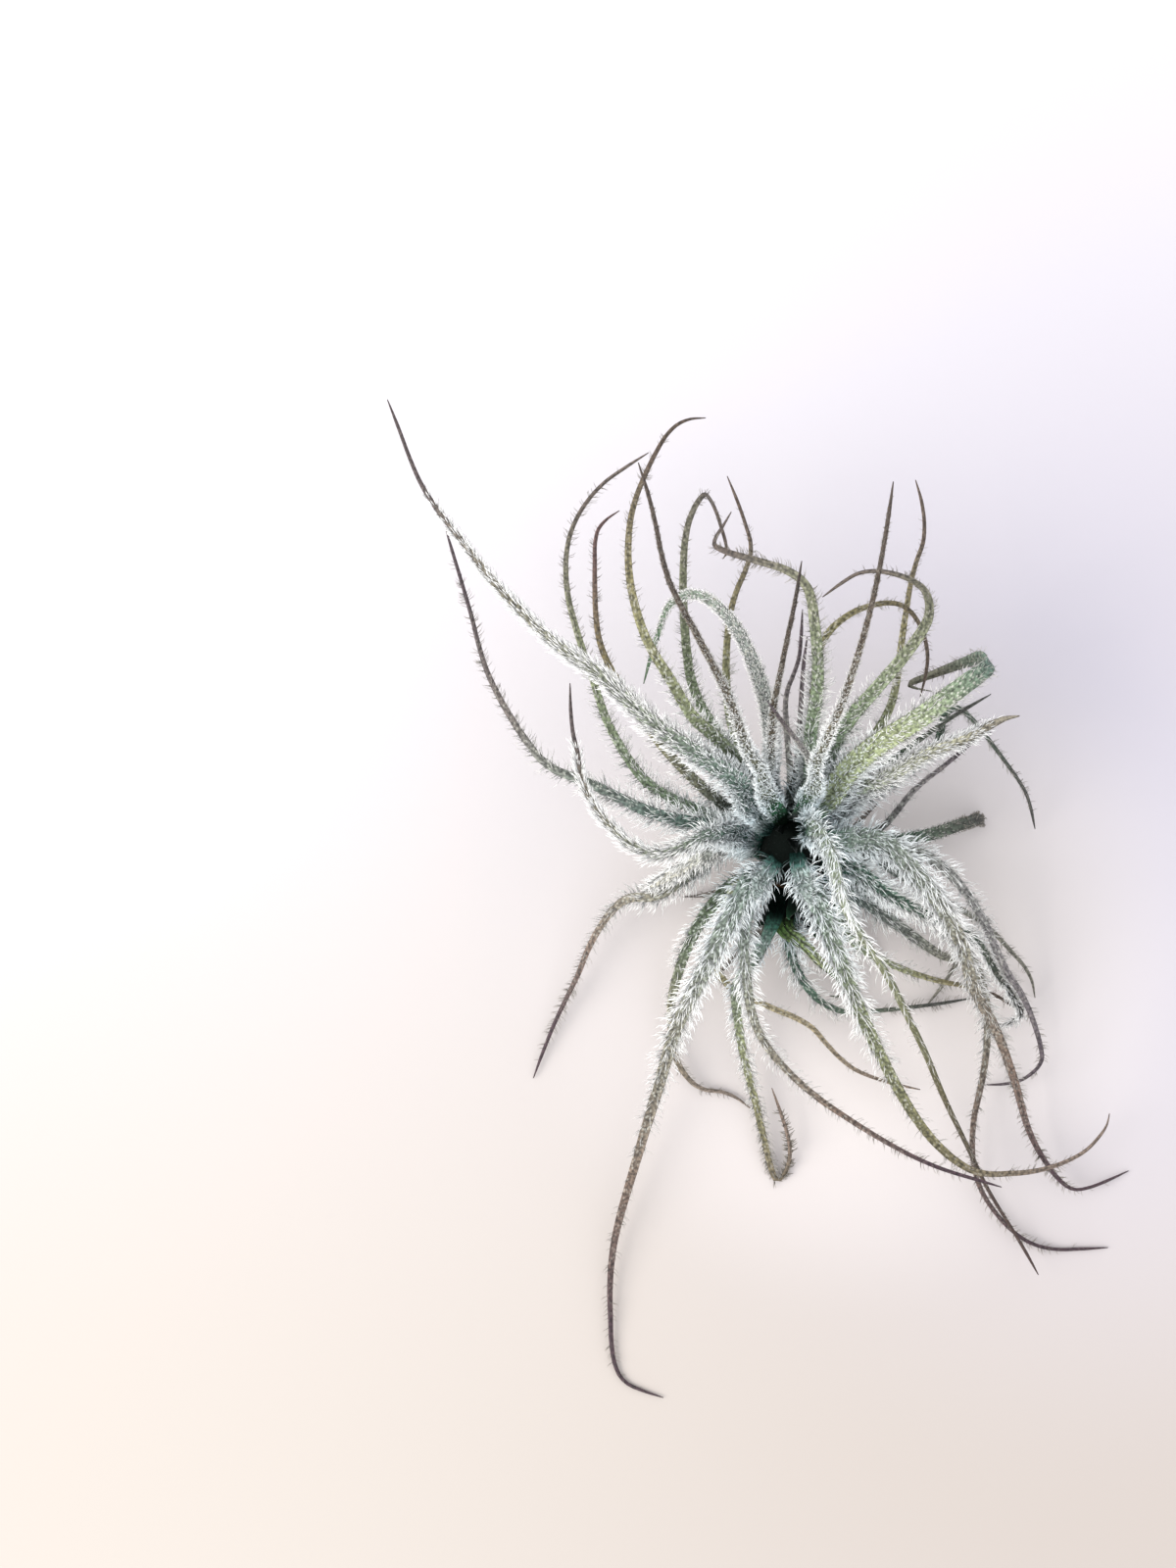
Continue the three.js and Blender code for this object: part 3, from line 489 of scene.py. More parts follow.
@dataclass
class BladeForm:
    """A straight blade of length and half width 1, modelled once and copied for each leaf."""

    rings: int

    COLUMNS = 14

    def model(self) -> Piece:
        """Models the blade from a cylinder whose long edges are cut and whose far end is drawn to a point."""
        deselect()
        bpy.ops.mesh.primitive_cylinder_add(
            vertices=self.COLUMNS, radius=1.0, depth=1.0, location=(0, 0, 0.5), end_fill_type="TRIFAN")
        blade = bpy.context.object
        blade.name = f"blade_form_{self.rings}"
        bpy.ops.object.transform_apply(location=True, rotation=True, scale=True)
        bpy.ops.object.mode_set(mode="EDIT")
        bpy.ops.mesh.select_all(action="DESELECT")
        bpy.ops.object.mode_set(mode="OBJECT")
        points = blade.data.vertices
        for edge in blade.data.edges:
            low, high = (points[i].co.z for i in edge.vertices)
            edge.select = abs(high - low) > 0.5
        bpy.ops.object.mode_set(mode="EDIT")
        bpy.ops.mesh.select_mode(use_extend=False, use_expand=False, type="EDGE")
        bpy.ops.mesh.subdivide(number_cuts=self.rings - 2)
        bpy.ops.object.mode_set(mode="OBJECT")
        return blade


class Coat(Enum):
    """How hairy a leaf is.

    Each coat has its hairs on the margins and on the faces for each millimetre of leaf, its longest hairs in
    millimetres, the share of the leaf that has hairs, and how much of the coat the leaf's outer half keeps.
    """

    TUFT = (13.0, 24.0, 4.0, 1.5, 1.0)
    FLEECE = (8.0, 50.0, 3.4, 0.9, 1.0)
    SNOW = (7.0, 36.0, 3.5, 0.86, 1.0)
    DRIFT = (7.5, 40.0, 3.9, 0.86, 1.0)
    BRUSH = (9.0, 26.0, 3.4, 1.5, 1.0)
    VELVET = (6.0, 20.0, 1.5, 1.5, 0.99)
    PLUSH = (6.0, 64.0, 1.5, 0.97, 0.97)
    COMB = (5.6, 9.0, 2.9, 0.97, 0.97)
    BEADED = (4.6, 90.0, 1.7, 0.97, 0.8)
    FROST = (6.5, 22.0, 4.2, 0.97, 0.55)
    WOOL = (5.6, 17.0, 4.2, 0.97, 0.6)
    FADING = (5.6, 16.0, 4.0, 0.96, 0.25)
    THICK = (4.8, 13.0, 3.8, 0.96, 0.55)
    COMMON = (4.2, 9.0, 3.2, 0.95, 0.58)
    THIN = (2.6, 5.0, 2.6, 0.93, 0.5)
    DARK = (0.6, 0.0, 1.2, 0.9, 0.5)

    def __init__(self, margin: float, face: float, length_mm: float, reach: float, keep: float) -> None:
        """Names the coat's five numbers, with its length in metres."""
        self.margin, self.face, self.length = margin, face, length_mm * MM
        self.reach, self.keep = reach, keep


@dataclass
class Leaf:
    """One leaf: its blade and its coat of hairs."""

    name: str
    tone: Tone
    coat: Coat
    slot: str
    shaded: float = 0.0  # the first part of the leaf that stays in the rosette's shade, dark and bare
    end: float = 0.75  # how wide the far end is, as a share of its node's width there
    age: float = 1.0  # the stage that the leaf reaches at its tip
    snowy: float = 0.0  # the first part of the leaf, where its coat is thickest
    fade: tuple[float, float] = (0.22, 0.6)  # from which share of the leaf to which its coat thins out
    line: MiddleLine = field(init=False)
    sunk: float = field(init=False)
    rng: np.random.Generator = field(init=False)

    # Behind the seat.
    SUNK_MM = 1.2  # how far a blade runs on into the stem
    UPRIGHT = 0.7  # a leaf that starts steeper than this stands up
    UPRIGHT_SUNK_MM = 5.0
    CROWN_FROM_MM = 24.0  # blades seated higher than this run on to the plant's heart
    HEART_MM = 1.6  # where those end, from the stem's middle
    HEART_SLIMMER = 0.8  # how much narrower a blade is there
    DROP_MM = 3.5  # how far the part behind the seat bends down into the heart

    # The blade.
    RING_MM = 0.9
    WAIST = 0.7  # how wide a blade is where it leaves the stem
    WAIST_MM = 7.0  # and how far that reaches
    WAVER_MM = 0.12
    WAVES_MM = (7.3, 4.1)  # of its sideways and upwards waves, for each radian
    WAVER_FROM_MM = (6, 20)  # where it starts and where it is full
    PHASES = 628  # a turn in hundredths of a radian
    POINT_MM = 5.0  # where the blade starts to draw in to its point
    POINT_CURVE = 0.7
    TAPER_END = 0.3
    THREAD_AT = (0.6, 0.8, 0.93, 1.0)
    THREAD = (0.0, 0.28, 0.6, 1.0)  # how much of the end's narrowing there is
    THREAD_MM = 0.22
    THICKEST = 1.05  # beside its half width
    EDGE = 0.35  # how much thinner the section is at its margins
    TINTS = (0.88, 0.24)  # the darkest one and the range above it
    LEAST_MAP_MM = 0.5  # the half width that a narrower blade has in the UV map
    UNDER_MAP_MM = 20.0  # how far off the under face lies in it
    MAP_SHIFT = 10  # between two leaves, for each radian of their phases

    # Colours. The dark base stages are painted shade of the rosette's heart, over the base's own dark green.
    BASE_STAGE = 0.24  # the stage at the end of the base
    BASE_MM = 7.0  # its length
    BASE_SHARE = 0.3  # its length on a short leaf
    BASE_FROM_MM = -1.2  # where it starts, behind the seat
    WHITE_STAGE = 0.45  # a coat that is kept stays as white as it is at this stage
    PALE_STAGE = 0.5  # and a plush one as it is at this one
    HAIR_TINTS = (1.08, 0.3)  # the lightest one and the range below it

    # Where hairs stand.
    READINGS = 400
    HAIRS_BEHIND = 0.6  # on which share of the part behind the seat
    HAIRS_START_MM = 2
    HAIRS_AFTER_SHADE = 1.5
    FULL_WIDTH_MM = 2.2  # the half width at which the faces have all their hairs
    WIDTHS = (0.2, 1.3)
    BASE_WEIGHT = 0.3
    BASE_WEIGHT_MM = 5
    SNOW_WEIGHT = 0.8
    SNOW_EDGE = 0.6  # the share of the snowy part from which it thins out
    REACH_EDGE = 0.12
    UPPER = 0.7  # the share of the face hairs on the upper face
    MARGIN_SPREAD = 0.2
    ROOTS_MM = (0.02, 0.1)  # how deep the roots of face and margin hairs are

    # How hairs grow.
    LATE = (0.25, 0.7)  # from where to where along the leaf hairs grow shorter
    THIN_COAT = 0.9  # a coat that keeps less than this also has its late hairs thin
    LENGTHS = (0.55, 0.5)  # the shortest one and the range above it
    SHORTER = (0.38, 0.17)  # the late hairs, and more in a thin coat
    SLIMMER = 0.45  # how much thinner the hairs themselves are where the coat is lost
    FACE_LIFT = 0.3  # how far the hairs of a face stand up, while those of the margins stand out
    FACE_OUTWARD = 0.5
    MARGIN_LIFT = 0.15
    FACE_LENGTH = 0.75
    STRAY = 0.15  # how much the hairs differ in direction
    WILD = 0.45
    LYING_COATS = (Coat.SNOW, Coat.DRIFT, Coat.BEADED)
    LYING = 1.0  # how much nearer to the leaf the outer hairs of these coats lie
    LYING_FROM = (0.2, 0.6)

    def __post_init__(self) -> None:
        """Reads the middle line and seeds the leaf's own random draw by its name."""
        self.line = MiddleLine.of_node(self.name)
        self.sunk = self.find_sunk()
        self.rng = np.random.default_rng([ord(c) for c in self.name])
        self.phase = (sum(ord(c) * (i + 1) for i, c in enumerate(self.name)) % self.PHASES) / 100

    def find_sunk(self) -> float:
        """How far the blade runs on behind its seat."""
        seat = self.line.middles[0]
        if self.line.middles[1][2] - seat[2] > self.UPRIGHT * float(self.line.knots[1]):
            return self.UPRIGHT_SUNK_MM * MM
        if seat[2] < self.CROWN_FROM_MM * MM:
            return self.SUNK_MM * MM
        return float(np.linalg.norm(seat[:2] - frame_stem_lean() * seat[2])) - self.HEART_MM * MM

    def stage(self, place: Array) -> Array:
        """How far along its life of colours each length from the base is, from 0 to 1; the first stages, near
        black at the base, are painted shade of the rosette's heart.
        """
        first = self.BASE_FROM_MM * MM + self.shaded
        base = min(self.BASE_MM * MM, self.BASE_SHARE * self.line.length) + first
        rest = (place - base) / (self.line.length - base)
        return np.where(place < base, self.BASE_STAGE * np.clip((place - first) / (base - first), 0, 1),
                        self.BASE_STAGE + (self.age - self.BASE_STAGE) * rest)

    def section(self, half: Array, thick: Array, turn: Array) -> tuple[Array, ...]:
        """A point of the crescent section and its outward direction.

        Args:
            half: Half widths.
            thick: Half thicknesses.
            turn: Angles round the section, 0 at one margin and a quarter turn at the upper middle.

        Returns:
            Across, up, and the direction's parts across and up.
        """
        cos, sin = np.cos(turn), np.sin(turn)
        raised = 2 * CHANNEL * half
        thin = 1 - self.EDGE * cos**2
        up = raised * cos**2 - raised / 2 + thick * sin * thin
        slope_across = -half * sin
        slope_up = -2 * raised * cos * sin + thick * cos * thin + 2 * self.EDGE * thick * sin * cos * sin
        size = np.maximum(np.hypot(slope_across, slope_up), 1e-9)
        return half * cos, up, slope_up / size, -slope_across / size

    def waver(self, place: Array) -> Array:
        """A slow waver of a living leaf, across and up in two columns, at lengths from its base."""
        waves = [np.sin(place / (wave * MM) + i * self.phase) for i, wave in enumerate(self.WAVES_MM, 1)]
        start, full = self.WAVER_FROM_MM
        size = smoothstep(start * MM, full * MM, place)[:, None]
        return np.stack(waves, axis=-1) * self.WAVER_MM * MM * size

    def shaped(self, place: Array) -> Stretch:
        """Reads the leaf with its waver and its drawn-out point, at lengths from its base."""
        stretch = self.line.read(place)
        behind = np.clip(-place / self.sunk, 0, 1)
        waist = self.WAIST + (1 - self.WAIST) * smoothstep(0.0, self.WAIST_MM * MM, place)
        stretch.half = stretch.half * (1 - self.HEART_SLIMMER * behind**2) * waist
        stretch.middle[:, 2] -= self.DROP_MM * MM * behind**2
        waver = self.waver(np.clip(place, 0, None))
        stretch.middle = stretch.middle + stretch.side * waver[:, :1] + stretch.up * waver[:, 1:]
        left = (self.line.length - place) / (self.POINT_MM * MM)
        taper = self.TAPER_END + (1 - self.TAPER_END) * np.clip(left, 0, 1) ** self.POINT_CURVE
        thread = 1 + (self.end - 1) * np.interp(place / self.line.length, self.THREAD_AT, self.THREAD)
        stretch.half = np.maximum(stretch.half * thread, self.THREAD_MM * MM) * taper
        stretch.thick = np.minimum(stretch.thick * taper, stretch.half * self.THICKEST)
        return stretch

    def build_blade(self, forms: dict[int, Piece]) -> None:
        """Copies the straight blade with the fitting number of rings, and bends it along the line."""
        wanted = self.line.length / (self.RING_MM * MM)
        form = forms[min(forms, key=lambda count: abs(count - wanted))]
        piece = form.copy()
        piece.data = form.data.copy()
        piece.name = piece.data.name = f"{self.name}_blade"
        link(piece)
        straight = np.empty(len(piece.data.vertices) * 3)
        piece.data.vertices.foreach_get("co", straight)
        straight = straight.reshape(-1, 3)
        place = straight[:, 2] * (self.line.length + self.sunk) - self.sunk
        turn = np.arctan2(straight[:, 1], straight[:, 0])
        poles = np.hypot(straight[:, 0], straight[:, 1]) < 0.5
        stretch = self.shaped(place)
        across, up, _, _ = self.section(stretch.half, stretch.thick, turn)
        across = np.where(poles, 0.0, across)
        up = np.where(poles, -CHANNEL * stretch.half, up)
        points = stretch.middle + stretch.side * across[:, None] + stretch.up * up[:, None]
        points[:, 2] = np.maximum(points[:, 2], 0.0)
        piece.data.vertices.foreach_set("co", points.ravel())
        tint = self.TINTS[0] + self.TINTS[1] * self.rng.random()
        values = np.stack([self.stage(place), np.full(len(place), tint), np.abs(np.cos(turn))], axis=-1)
        store(piece.data, BLADE_DATA, values)
        self.lay_uv(piece.data, place, turn, stretch.half)
        piece.data.shade_smooth()
        piece.data.update()
        settle(piece, self.slot, FINISHES[self.tone], self.name)

    def lay_uv(self, mesh: bpy.types.Mesh, place: Array, turn: Array, half: Array) -> None:
        """Lays the UV map in millimetres, across the blade and along it.

        Args:
            mesh: The blade's mesh.
            place: Each point's length from the base.
            turn: Each point's angle round the section.
            half: Each point's half width.
        """
        layer = mesh.uv_layers.active or mesh.uv_layers.new()
        layer.name = BLADE_UV
        corner = np.empty(len(mesh.loops), int)
        mesh.loops.foreach_get("vertex_index", corner)
        across = np.cos(turn) * np.maximum(half, self.LEAST_MAP_MM * MM) / MM
        across = across + np.where(np.sin(turn) < 0, self.UNDER_MAP_MM, 0.0)
        uv = np.stack([across[corner] + self.phase * self.MAP_SHIFT, place[corner] / MM], axis=-1)
        layer.data.foreach_set("uv", uv.ravel().astype(np.float32))

    def grow_hairs(self) -> int:
        """Grows the leaf's hairs: bent, three-sided needles that lean towards the tip.

        Returns:
            How many hairs there are.
        """
        fine = np.linspace(-self.HAIRS_BEHIND * self.sunk, self.line.length, self.READINGS)
        width = np.interp(fine, self.line.knots, self.line.halves) / (self.FULL_WIDTH_MM * MM)
        weight = self.weigh(fine)
        kept = 1 - (1 - self.coat.keep) * smoothstep(*self.fade, fine / self.line.length)
        margin = self.draw_places(fine, weight * kept, self.coat.margin)
        face = self.draw_places(fine, weight * np.clip(width, *self.WIDTHS) * kept**2, self.coat.face)
        place = np.concatenate([margin, face])
        flat = np.arange(len(place)) >= len(margin)
        turn = self.draw_turns(flat)
        stretch = self.shaped(place)
        across, up, out_across, out_up = self.section(stretch.half, stretch.thick, turn)
        root = stretch.middle + stretch.side * across[:, None] + stretch.up * up[:, None]
        out = stretch.side * out_across[:, None] + stretch.up * out_up[:, None]
        root = root - out * np.where(flat, *self.ROOTS_MM)[:, None] * MM
        late = smoothstep(*self.LATE, place / self.line.length)
        lost = float(self.coat.keep < self.THIN_COAT) * late
        length = self.coat.length * (self.LENGTHS[0] + self.LENGTHS[1] * self.rng.random(len(place)))
        length = length * (1 - self.SHORTER[0] * late - self.SHORTER[1] * lost)
        length = length * np.where(flat, self.FACE_LENGTH, 1.0)
        thick = np.where(flat, Needle.FACE_RADIUS_MM, Needle.RADIUS_MM) * MM * (1 - self.SLIMMER * lost)
        outward = stretch.side * np.sign(np.cos(turn))[:, None]
        outward = outward * (self.FACE_OUTWARD * np.abs(np.cos(turn)))[:, None]
        out = np.where(flat[:, None], out * self.FACE_LIFT + outward, out + stretch.up * self.MARGIN_LIFT)
        if len(place):
            self.add_needles(root, out, stretch.along, length, thick, place)
        return len(place)

    def weigh(self, fine: Array) -> Array:
        """How dense the coat is at places along the leaf, before its outer half loses some of it."""
        weight = self.BASE_WEIGHT + (1 - self.BASE_WEIGHT) * smoothstep(0.0, self.BASE_WEIGHT_MM * MM, fine)
        if self.snowy:
            weight = 1.0 + self.SNOW_WEIGHT * (1 - smoothstep(self.SNOW_EDGE * self.snowy, self.snowy, fine))
        clear = fine + self.HAIRS_BEHIND * self.sunk - self.HAIRS_AFTER_SHADE * self.shaded
        weight = weight * smoothstep(0.0, self.HAIRS_START_MM * MM, clear)
        reach = self.coat.reach
        return weight * (1 - smoothstep(reach - self.REACH_EDGE, reach, fine / self.line.length))

    def draw_places(self, fine: Array, weight: Array, density: float) -> Array:
        """Draws where along the leaf hairs stand.

        Args:
            fine: Places along the leaf, evenly apart.
            weight: The coat's weight there.
            density: Hairs for each millimetre where the weight is 1.

        Returns:
            The hairs' places.
        """
        total = np.concatenate([[0.0], np.cumsum((weight[1:] + weight[:-1]) / 2 * np.diff(fine))])
        number = int(total[-1] / MM * density)
        return np.interp(self.rng.random(number) * total[-1], total, fine)

    def draw_turns(self, flat: Array) -> Array:
        """Draws where round the section each hair stands, with flat true for the hairs of the faces."""
        rng, number = self.rng, len(flat)
        margin = rng.normal(0, self.MARGIN_SPREAD, number) + np.where(rng.random(number) < 0.5, 0.0, math.pi)
        face = rng.random(number) * math.pi
        return np.where(flat, np.where(rng.random(number) < self.UPPER, face, -face), margin)

    def add_needles(self, root: Array, out: Array, along: Array, length: Array,
                    thick: Array, place: Array) -> None:
        """Makes the hairs' mesh from their roots.

        Args:
            root: Where each hair stands.
            out: The outward direction there.
            along: The direction to the leaf's tip there.
            length: Each hair's length.
            thick: Each hair's radius at its root.
            place: Each root's length from the leaf's base.
        """
        number = len(root)
        stray = self.rng.normal(0, self.WILD if self.coat is Coat.BEADED else self.STRAY, (number, 3))
        lying = self.LYING * smoothstep(*self.LYING_FROM, place / self.line.length)[:, None]
        lying = lying * float(self.coat in self.LYING_COATS)
        first = unit(out + along * (Needle.FIRST_LEAN + lying) + stray)
        last = unit(out * Needle.LAST_LIFT + along * (Needle.LAST_LEAN + lying) + stray * Needle.LAST_STRAY)
        middle = root + first * (length * Needle.WAIST_AT)[:, None]
        end = middle + last * (length * (1 - Needle.WAIST_AT))[:, None]
        across = unit(np.cross(first, along + stray * 0.1))
        upward = np.cross(first, across)
        angles = (np.array([0.0, 2.0, 4.0]) * math.pi / 3)[None, :, None]
        ring = across[:, None] * np.cos(angles) + upward[:, None] * np.sin(angles)
        low = root[:, None] + ring * thick[:, None, None]
        high = middle[:, None] + ring * thick[:, None, None] * Needle.WAIST
        points = np.concatenate([low, high, end[:, None]], axis=1)
        points[..., 2] = np.maximum(points[..., 2], Needle.FLOOR_MM * MM)
        mesh = Needle.mesh(f"{self.name}_hairs", points)
        values = np.empty(points.shape)
        values[..., 0] = np.minimum(self.stage(place), self.whitest)[:, None]
        values[..., 1] = (self.HAIR_TINTS[0] - self.HAIR_TINTS[1] * self.rng.random(number) ** 2)[:, None]
        values[..., 2] = np.array(Needle.REACH)[None]
        store(mesh, HAIR_DATA, values)
        mesh.shade_smooth()
        piece = bpy.data.objects.new(mesh.name, mesh)
        link(piece)
        settle(piece, "leaf_hair", HAIR_MATERIAL)

    @property
    def whitest(self) -> float:
        """The stage from which the hairs' colour stays as it is."""
        if self.coat.keep == 1:
            return self.WHITE_STAGE
        return self.PALE_STAGE if self.coat is Coat.PLUSH else 1.0


class Needle:
    """A hair's form: a three-sided needle with a waist ring, closed at its root and pointed at its tip."""

    RADIUS_MM = 0.118
    FACE_RADIUS_MM = 0.098
    WAIST = 0.85
    WAIST_AT = 0.6  # the waist's share of the way to the tip
    FIRST_LEAN = 0.5  # how far it leans along the leaf up to its waist
    LAST_LEAN = 0.8  # and from there
    LAST_LIFT = 0.7
    LAST_STRAY = 1.3
    FLOOR_MM = 0.02
    REACH = (0, 0, 0, WAIST_AT, WAIST_AT, WAIST_AT, 1.0)  # each point's share of the way to the tip
    FACES = np.array([[0, 2, 1], [0, 1, 4], [0, 4, 3], [1, 2, 5], [1, 5, 4], [2, 0, 3], [2, 3, 5],
                      [3, 4, 6], [4, 5, 6], [5, 3, 6]])

    @classmethod
    def mesh(cls, name: str, points: Array) -> bpy.types.Mesh:
        """Makes one mesh of many needles, from the seven points of each."""
        number, each, _ = points.shape
        faces = (np.arange(number)[:, None, None] * each + cls.FACES[None]).reshape(-1, 3)
        mesh = bpy.data.meshes.new(name)
        mesh.vertices.add(number * each)
        mesh.vertices.foreach_set("co", points.ravel())
        mesh.loops.add(faces.size)
        mesh.loops.foreach_set("vertex_index", faces.ravel().astype(np.int32))
        mesh.polygons.add(len(faces))
        mesh.polygons.foreach_set("loop_start", np.arange(0, faces.size, 3, dtype=np.int32))
        mesh.update(calc_edges=True)
        return mesh


@dataclass
class Rosette:
    """All the leaves, with the tone and the coat of each. The tables name a leaf by its kind and number."""

    RING_COUNTS = (14, 28, 56, 84, 112, 140)
    # Each kind's number of leaves, slot, usual tone and usual coat.
    KINDS = {
        "lower": (5, "dry_leaf", Tone.DRY, Coat.THIN),
        "short": (6, "dry_leaf", Tone.SHADED, Coat.DARK),
        "outer": (14, "outer_leaf", Tone.GREY_BROWN, Coat.COMMON),
        "middle": (15, "middle_leaf", Tone.SAGE, Coat.THICK),
        "inner": (14, "inner_leaf", Tone.SILVER_BLUE, Coat.WOOL),
        "heart": (3, "heart_leaf", Tone.SHADED, Coat.DARK),
    }
    TONES = {
        Tone.TUFTED: "middle_03 short_05 short_06",
        Tone.STRAW_TIPPED: "inner_02",
        Tone.FROSTED: "inner_03 inner_09",
        Tone.SILVER_BLUE: "middle_13",
        Tone.PURPLE_TIPPED: "outer_14 middle_12 inner_05 outer_01 inner_01",
        Tone.OLIVE_SILVER: "inner_04 outer_13",
        Tone.MUSTARD: "middle_04",
        Tone.STRAW: "outer_10",
        Tone.SAGE_GREEN: "middle_14",
        Tone.GREY_SILVER: "outer_03 outer_04",
        Tone.DARK_OLIVE: "inner_12",
        Tone.SAGE: "outer_09 inner_07",
        Tone.OLIVE: "inner_06 middle_01 middle_07 middle_08 outer_11",
        Tone.BEADED: "inner_11 inner_13 inner_14",
        Tone.GREEN: "outer_06 middle_06 middle_09 middle_10 outer_02",
        Tone.MOSS: "outer_05",
        Tone.YELLOW_GREEN: "inner_08",
        Tone.STRIPED: "outer_07",
        Tone.GREY_BROWN: "inner_10 middle_05 middle_11",
    }
    COATS = {
        Coat.TUFT: "middle_03",
        Coat.SNOW: "inner_09",
        Coat.DRIFT: "inner_03",
        Coat.FROST: "outer_01 short_05 short_06",
        Coat.FLEECE: "inner_02",
        Coat.WOOL: "middle_13 outer_02 outer_03",
        Coat.FADING: "inner_12 inner_04 inner_01",
        Coat.THICK: "outer_07 outer_11 outer_14 inner_08",
        Coat.BRUSH: "middle_10",
        Coat.VELVET: "outer_06",
        Coat.PLUSH: "middle_14",
        Coat.COMB: "outer_13",
        Coat.COMMON: "inner_06 middle_01 middle_04 middle_08",
        Coat.THIN: "outer_08 outer_10 outer_12 middle_07 middle_09 middle_11",
        Coat.BEADED: "inner_11 inner_13 inner_14 inner_10",
    }
    # What else sets a leaf apart, in the terms of Leaf.
    OWN = {
        "outer_13": {"shaded": 7.0 * MM}, "outer_07": {"shaded": 5.0 * MM}, "heart_01": {"shaded": 4.0 * MM},
        "heart_02": {"shaded": 10.0 * MM}, "heart_03": {"shaded": 10.0 * MM}, "inner_08": {"end": 0.4},
        "outer_06": {"end": 1.1}, "middle_03": {"end": 1.0}, "middle_10": {"end": 1.25},
        "short_05": {"age": 0.3}, "short_06": {"age": 0.3}, "inner_02": {"end": 1.1, "snowy": 12.0 * MM},
        "inner_03": {"snowy": 12.0 * MM}, "inner_09": {"snowy": 10.0 * MM}, "middle_13": {"snowy": 9.0 * MM},
        "inner_12": {"snowy": 9.0 * MM, "fade": (0.1, 0.36)},
    }

    def build(self) -> None:
        """Builds every leaf's blade and hairs."""
        total = 0
        forms = {count: BladeForm(count).model() for count in self.RING_COUNTS}
        for kind, (count, slot, usual_tone, usual_coat) in self.KINDS.items():
            for i in range(1, count + 1):
                key = f"{kind}_{i:02d}"
                tone = self.pick(self.TONES, key, usual_tone)
                coat = self.pick(self.COATS, key, usual_coat)
                leaf = Leaf(f"{kind}_leaf_{i:02d}", tone, coat, slot, **self.OWN.get(key, {}))
                leaf.build_blade(forms)
                total += leaf.grow_hairs()
        for form in forms.values():
            bpy.data.objects.remove(form)
        log.info("hairs: %d", total)

    @staticmethod
    def pick(table: dict[Enum, str], key: str, usual: Enum) -> Enum:
        """Finds a leaf's own choice in a table, or else the usual one of its kind."""
        return next((choice for choice, keys in table.items() if key in keys.split()), usual)


@dataclass
class Stem:
    """The short leaning stem, smooth and dry."""

    SIDES = 40
    HEIGHTS_MM = (0.0, 1.0, 3.0, 7.5, 14.0, 21.5, 26.0, 29.0, 31.2, 32.6, 33.0)
    RADII_MM = (4.35, 4.5, 5.25, 5.95, 6.35, 6.15, 5.3, 4.2, 2.9, 1.4, 0.3)

    def build(self) -> None:
        """Models the stem by extruding a ring upwards."""
        deselect()
        lean = frame_stem_lean()
        bpy.ops.mesh.primitive_circle_add(vertices=self.SIDES, radius=self.RADII_MM[0] * MM, fill_type="NGON")
        piece = bpy.context.object
        piece.name = piece.data.name = "stem_bark"
        bpy.ops.object.mode_set(mode="EDIT")
        bpy.ops.mesh.select_all(action="SELECT")
        radius, height = self.RADII_MM[0], 0.0
        for z, wide in zip(self.HEIGHTS_MM[1:], self.RADII_MM[1:]):
            rise = (z - height) * MM
            bpy.ops.mesh.extrude_region_move(
                TRANSFORM_OT_translate={"value": (lean[0] * rise, lean[1] * rise, rise)})
            bpy.ops.transform.resize(value=(wide / radius, wide / radius, 1.0),
                                     center_override=(lean[0] * z * MM, lean[1] * z * MM, z * MM))
            radius, height = wide, z
        bpy.ops.mesh.select_all(action="SELECT")
        bpy.ops.mesh.normals_make_consistent(inside=False)
        bpy.ops.object.mode_set(mode="OBJECT")
        piece.data.shade_smooth()
        settle(piece, "stem", BARK_MATERIAL, "stem")


@dataclass(frozen=True)
class Patch:
    """A round patch of the floor painted with a colour that stands for light and shade there, from its full
    core to its faint edge.
    """

    middle: tuple[float, float, float]
    edge: float
    core: float
    code: str


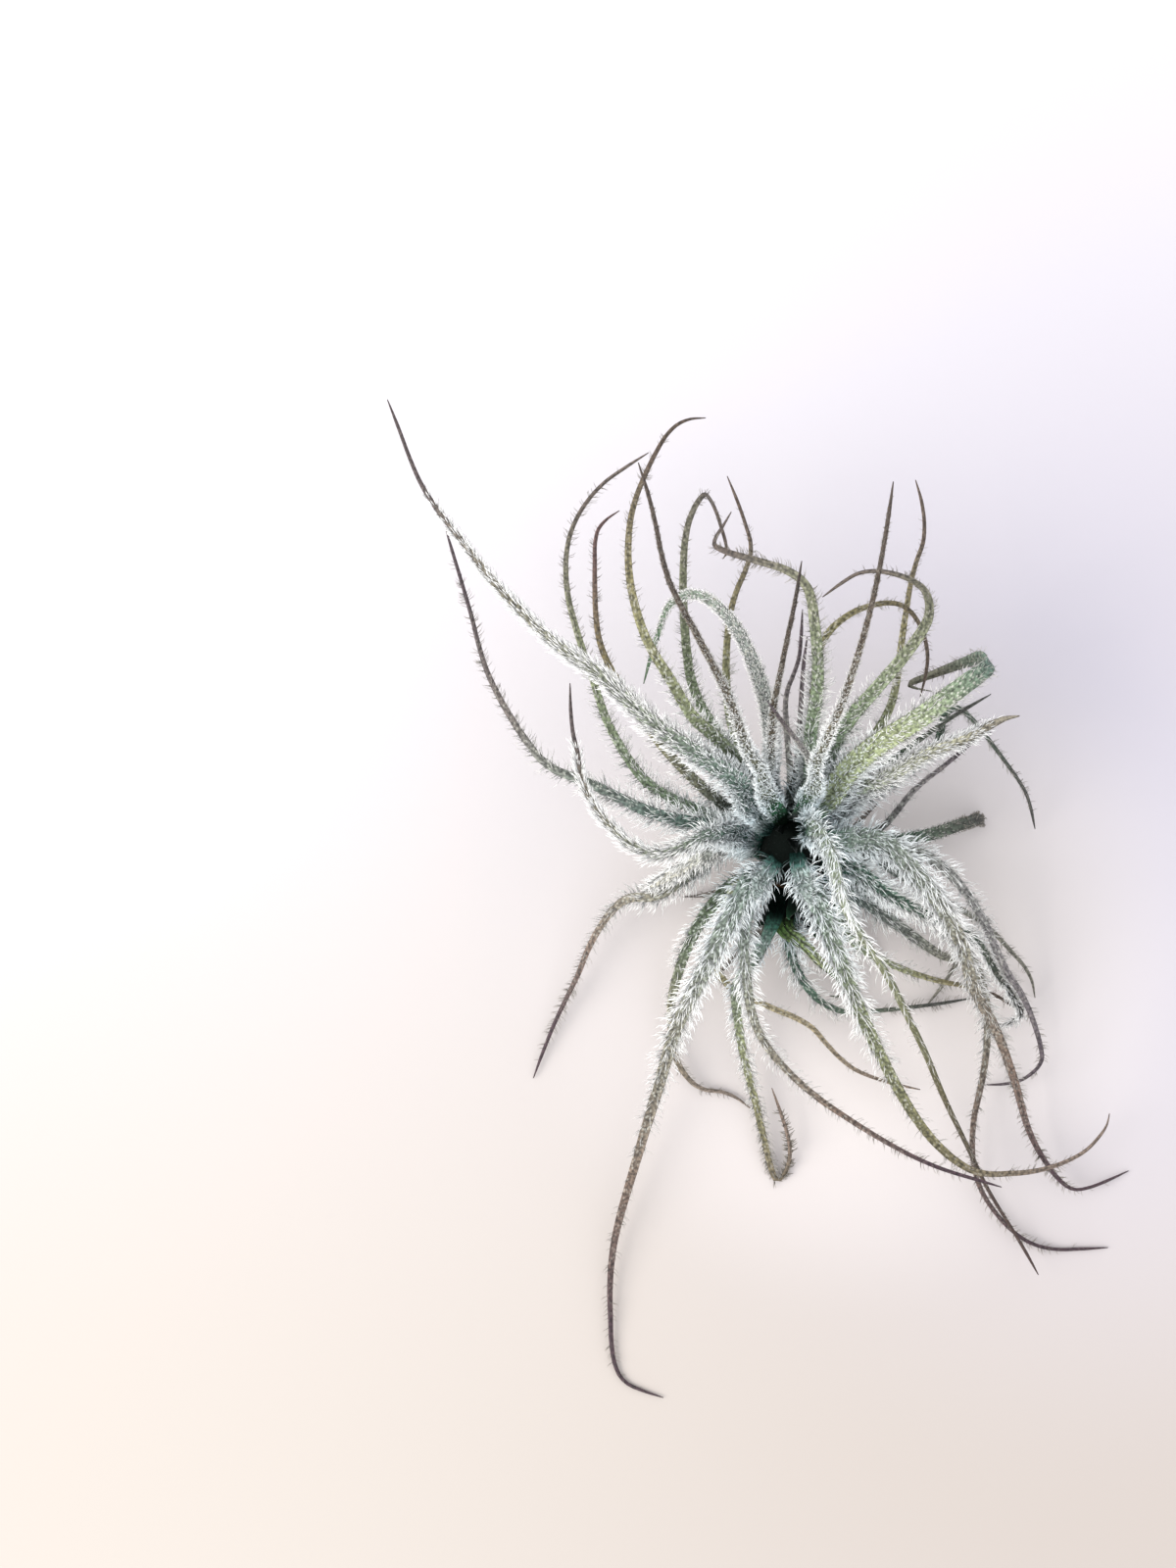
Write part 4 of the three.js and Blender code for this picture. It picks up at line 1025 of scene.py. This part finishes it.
@dataclass
class Studio:
    """A pale floor, soft light and the camera straight above, where the plant is seen from."""

    EYE_MM = (-41.2, 20.0, 480.0)
    LENS = 54.0
    SENSOR = 36.0
    KEY_PLACE = (-0.9, -0.15, 0.75)
    KEY_SIZE = 0.8
    KEY_WATTS = 16.0
    KEY_COLOUR = "#fffaf4"
    AIM = (0.0, 0.0, 0.03)
    ROOM_COLOUR = "#f6f6fb"
    ROOM_STRENGTH = 1.82
    FLOOR_SIZE = 4.0
    # Painted light falloff: the floor is lighter far off and darker near, most at the near right; it is also
    # warmer at the near left, and cooler at the right and far off.
    NEAR_LEFT = "#a9a39c"
    NEAR_RIGHT = "#a09993"
    FAR = "#b8b6b9"
    LEFT_TO_RIGHT = (-0.15, 0.08)
    FAR_TO_NEAR = (0.12, -0.13)
    # Painted shade: a soft lavender shadow on the floor to the right of the plant.
    PAINTED_SHADE_RIGHT = Patch((0.09, 0.03, 0.0), 0.17, 0.02, "#a8a5ac")
    # Painted light: the floor is paler under the plant, which softens the plant's cast shadow.
    PAINTED_LIGHT_BENEATH = Patch((0.015, -0.014, 0.0), 0.078, 0.025, "#b9b4b1")

    def build(self) -> None:
        """Builds the floor, the light, the world and the camera."""
        self.add_floor()
        self.add_key()
        self.add_world()
        camera = bpy.data.cameras.new("camera")
        camera.sensor_fit = "VERTICAL"
        camera.sensor_height = self.SENSOR
        camera.lens = self.LENS
        eye = bpy.data.objects.new("camera", camera)
        eye.location = [value * MM for value in self.EYE_MM]
        link(eye)
        bpy.context.scene.camera = eye
        bpy.context.scene.view_settings.view_transform = "Standard"

    def add_floor(self) -> None:
        """Adds the pale matt floor, its colour painted with the light's falloff and with patches of painted
        shade and light.
        """
        deselect()
        bpy.ops.mesh.primitive_plane_add(size=self.FLOOR_SIZE, location=(0, 0, 0))
        floor = bpy.context.object
        floor.name = "floor"
        graph = Graph("floor_matt_board")
        place = graph.add("ShaderNodeTexCoord").outputs["Object"]
        x, y, _ = graph.parts(place)
        # Painted light falloff: darker near than far off, and darkest at the near right.
        warm = graph.mix(graph.rise(x, *self.LEFT_TO_RIGHT), self.NEAR_LEFT, self.NEAR_RIGHT)
        colour = graph.mix(graph.rise(y, *self.FAR_TO_NEAR), self.FAR, warm)
        # Lays the patches of painted shade and painted light over the floor's colour.
        for patch in (self.PAINTED_SHADE_RIGHT, self.PAINTED_LIGHT_BENEATH):
            aside = graph.add("ShaderNodeVectorMath", {0: place, 1: patch.middle}, operation="DISTANCE")
            inside = graph.rise(aside.outputs["Value"], patch.edge, patch.core)
            colour = graph.mix(inside, colour, patch.code)
        floor.data.materials.append(graph.close(graph.surface(colour, 0.9, 0.1)))

    def add_key(self) -> None:
        """Adds the soft square light that faces the plant."""
        lamp = bpy.data.lights.new("key", "AREA")
        lamp.size = self.KEY_SIZE
        lamp.energy = self.KEY_WATTS
        lamp.color = linear(self.KEY_COLOUR)[:3]
        light = bpy.data.objects.new("key", lamp)
        light.location = self.KEY_PLACE
        back = np.array(self.KEY_PLACE) - np.array(self.AIM)
        tilt = math.acos(back[2] / np.linalg.norm(back))
        light.rotation_euler = (tilt, 0.0, math.atan2(back[0], -back[1]))
        link(light)

    def add_world(self) -> None:
        """Gives the room its even white light."""
        world = bpy.data.worlds.new("room")
        bpy.context.scene.world = world
        world.use_nodes = True
        back = world.node_tree.nodes["Background"]
        back.inputs[0].default_value = linear(self.ROOM_COLOUR)
        back.inputs[1].default_value = self.ROOM_STRENGTH


FINISHES = {tone: tone.value.material(f"leaf_{tone.name.lower()}") for tone in Tone}
HAIR_MATERIAL = HairFinish().material("leaf_hair_cellulose")
BARK_MATERIAL = BarkFinish().material("stem_dry_bark")


def main() -> None:
    """Builds the plant and its studio."""
    logging.basicConfig(level=logging.INFO, format="%(message)s")
    Studio().build()
    Rosette().build()
    Stem().build()


if __name__ == "__main__":
    main()
